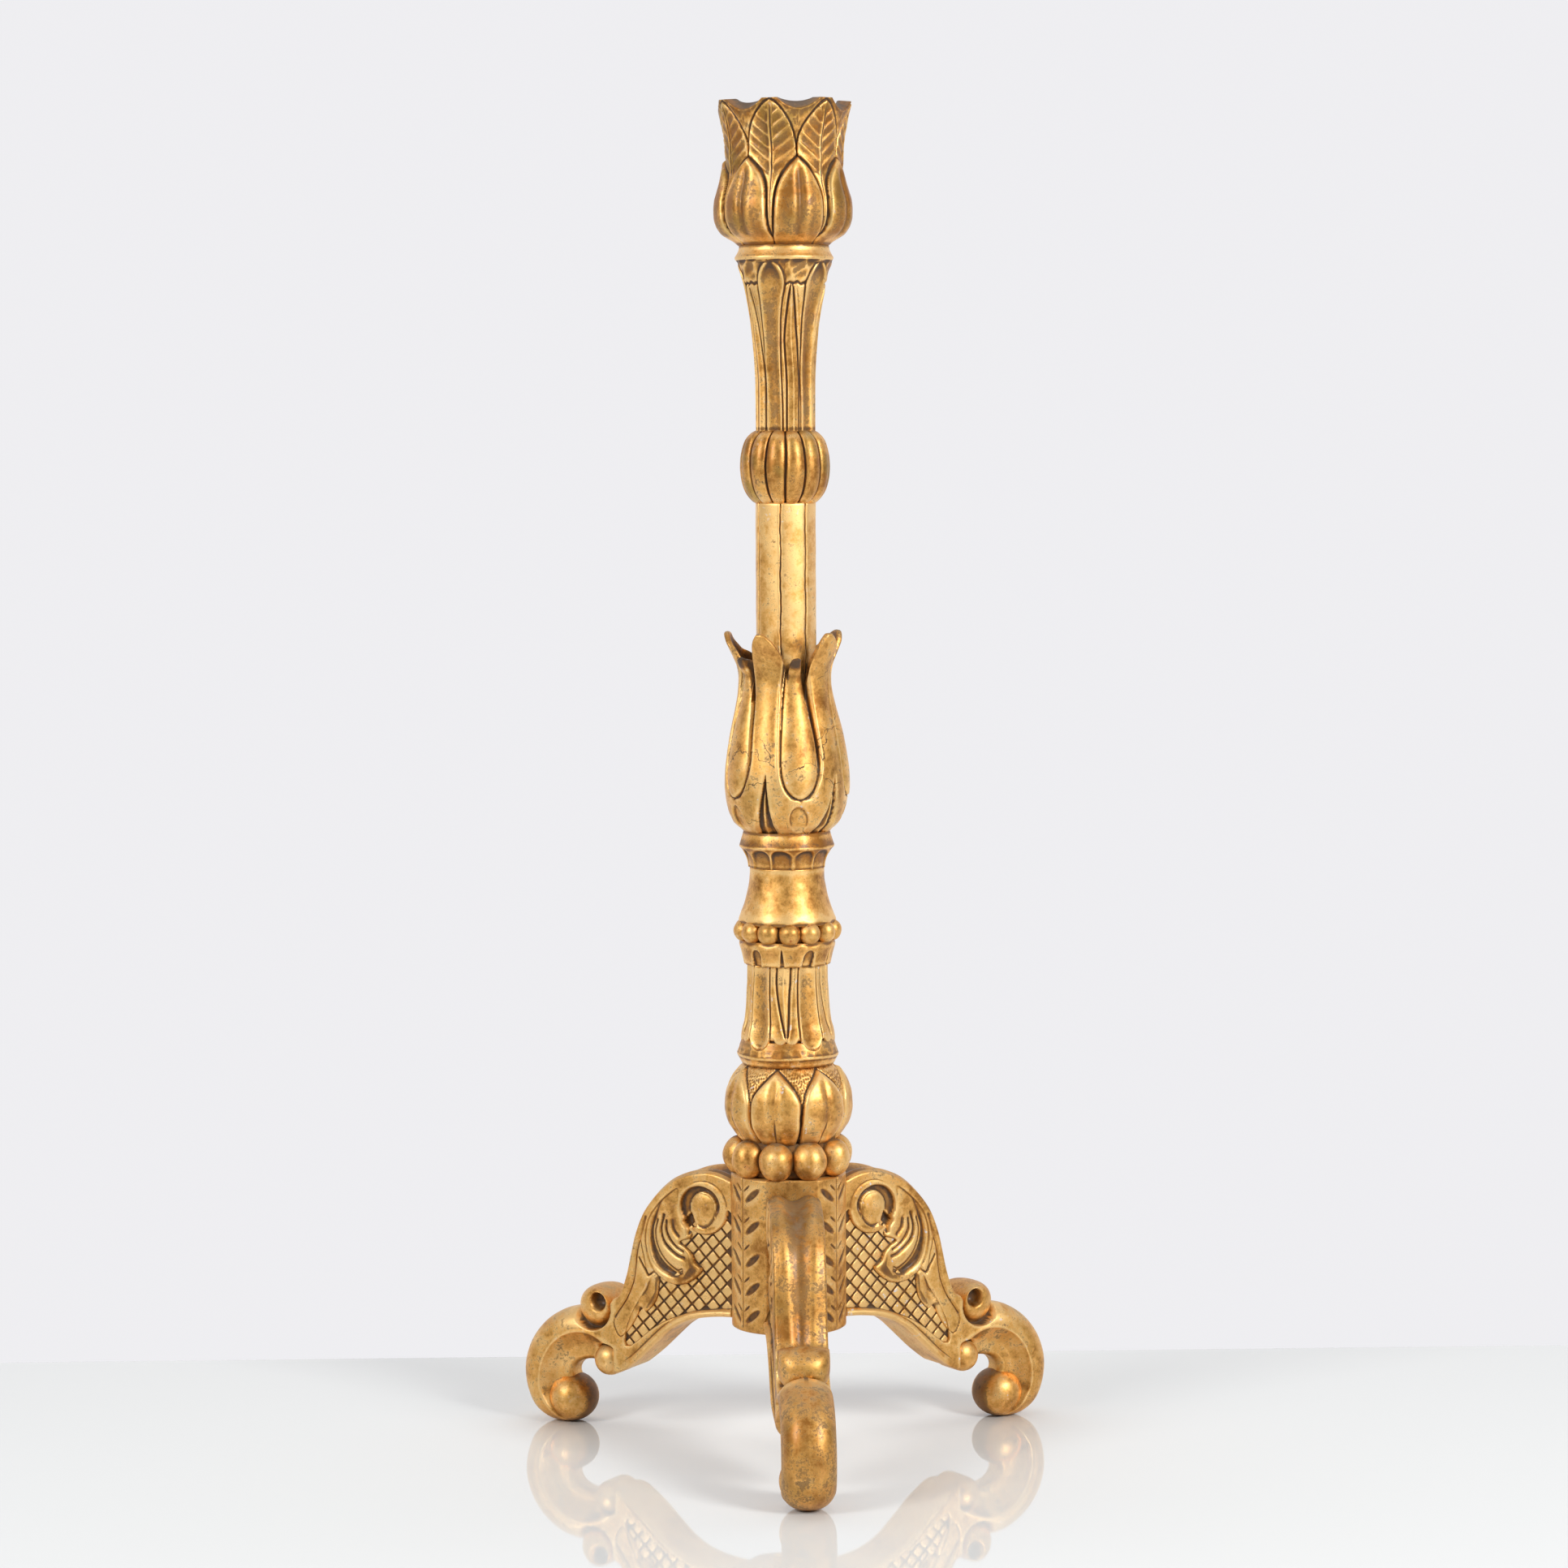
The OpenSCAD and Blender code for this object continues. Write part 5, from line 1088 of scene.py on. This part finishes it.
# ---------------------------------------------------------------------------------------------
# Table, background, lights and camera. The table is white under a clear glossy finish and ends a
# little behind the stand. The pale backdrop hangs far behind it. One soft box stands on each side in
# front, and a third hangs overhead.


def sheet(name, corners):
    """A flat four-sided board of the stage, with a plain material to be set up."""
    mesh = bpy.data.meshes.new(name)
    mesh.from_pydata(corners, [], [(0, 1, 2, 3)])
    board = bpy.data.objects.new(name, mesh)
    bpy.context.scene.collection.objects.link(board)
    paint = bpy.data.materials.new(name)
    paint.use_nodes = True
    mesh.materials.append(paint)
    return paint.node_tree.nodes["Principled BSDF"].inputs


back_y, wall_y = 0.374, 5.9
white = sheet("table", [(-7, -6, 0), (7, -6, 0), (7, back_y, 0), (-7, back_y, 0)])
white["Base Color"].default_value = (0.80, 0.815, 0.805, 1)
white["Roughness"].default_value = 0.03
paper = sheet("backdrop", [(-27, wall_y, -13), (27, wall_y, -13), (27, wall_y, 17), (-27, wall_y, 17)])
paper["Base Color"].default_value = (0, 0, 0, 1)
paper["Specular IOR Level"].default_value = 0
paper["Emission Color"].default_value = (0.862, 0.857, 0.880, 1)
paper["Emission Strength"].default_value = 1.0


def lamp(name, place, aim, size, power):
    """A rectangular soft box of a size in metres and a power in watts, turned towards its aim."""
    light = bpy.data.lights.new(name, "AREA")
    light.shape, light.size, light.size_y = "RECTANGLE", *size
    light.energy = power
    thing = bpy.data.objects.new(name, light)
    thing.rotation_euler = (Vector(aim) - Vector(place)).to_track_quat("-Z", "Y").to_euler()
    thing.location = place
    bpy.context.scene.collection.objects.link(thing)


lamp("soft box left", (-2.5, -2.0, 2.1), (0, 0, 0.5), (1.0, 1.4), 62)
lamp("soft box right", (2.2, -2.3, 2.0), (0, 0, 0.5), (0.9, 1.3), 88)
lamp("overhead", (0, 0.2, 3.0), (0, 0, 0.4), (2.0, 1.6), 14)
world = bpy.data.worlds.new("room")
world.use_nodes = True
world.node_tree.nodes["Background"].inputs["Color"].default_value = (0.97, 0.98, 1.0, 1)
world.node_tree.nodes["Background"].inputs["Strength"].default_value = 0.20
bpy.context.scene.world = world
bpy.context.scene.view_settings.view_transform = "Standard"

# the camera stands far from the stem's axis, a little aside, and high above the floor, in metres
yaw, pitch_down, tilt = np.radians(1.7), np.radians(4.756), np.radians(-0.28)
optics = bpy.data.cameras.new("camera")
focal_px, frame_px = 5460, 1932
optics.sensor_width = 36
optics.lens = optics.sensor_width * focal_px / frame_px
camera = bpy.data.objects.new("camera", optics)
bpy.context.scene.collection.objects.link(camera)
far, aside, high = 3.270, 0.0019, 0.7698
place = (-far * np.sin(yaw) - aside * np.cos(yaw),
         stem_at / 1000 - far * np.cos(yaw) + aside * np.sin(yaw), high)
camera.matrix_world = (Matrix.Translation(place) @ Matrix.Rotation(-yaw, 4, "Z")
                       @ Matrix.Rotation(np.pi / 2 - pitch_down, 4, "X") @ Matrix.Rotation(tilt, 4, "Z"))
bpy.context.scene.camera = camera
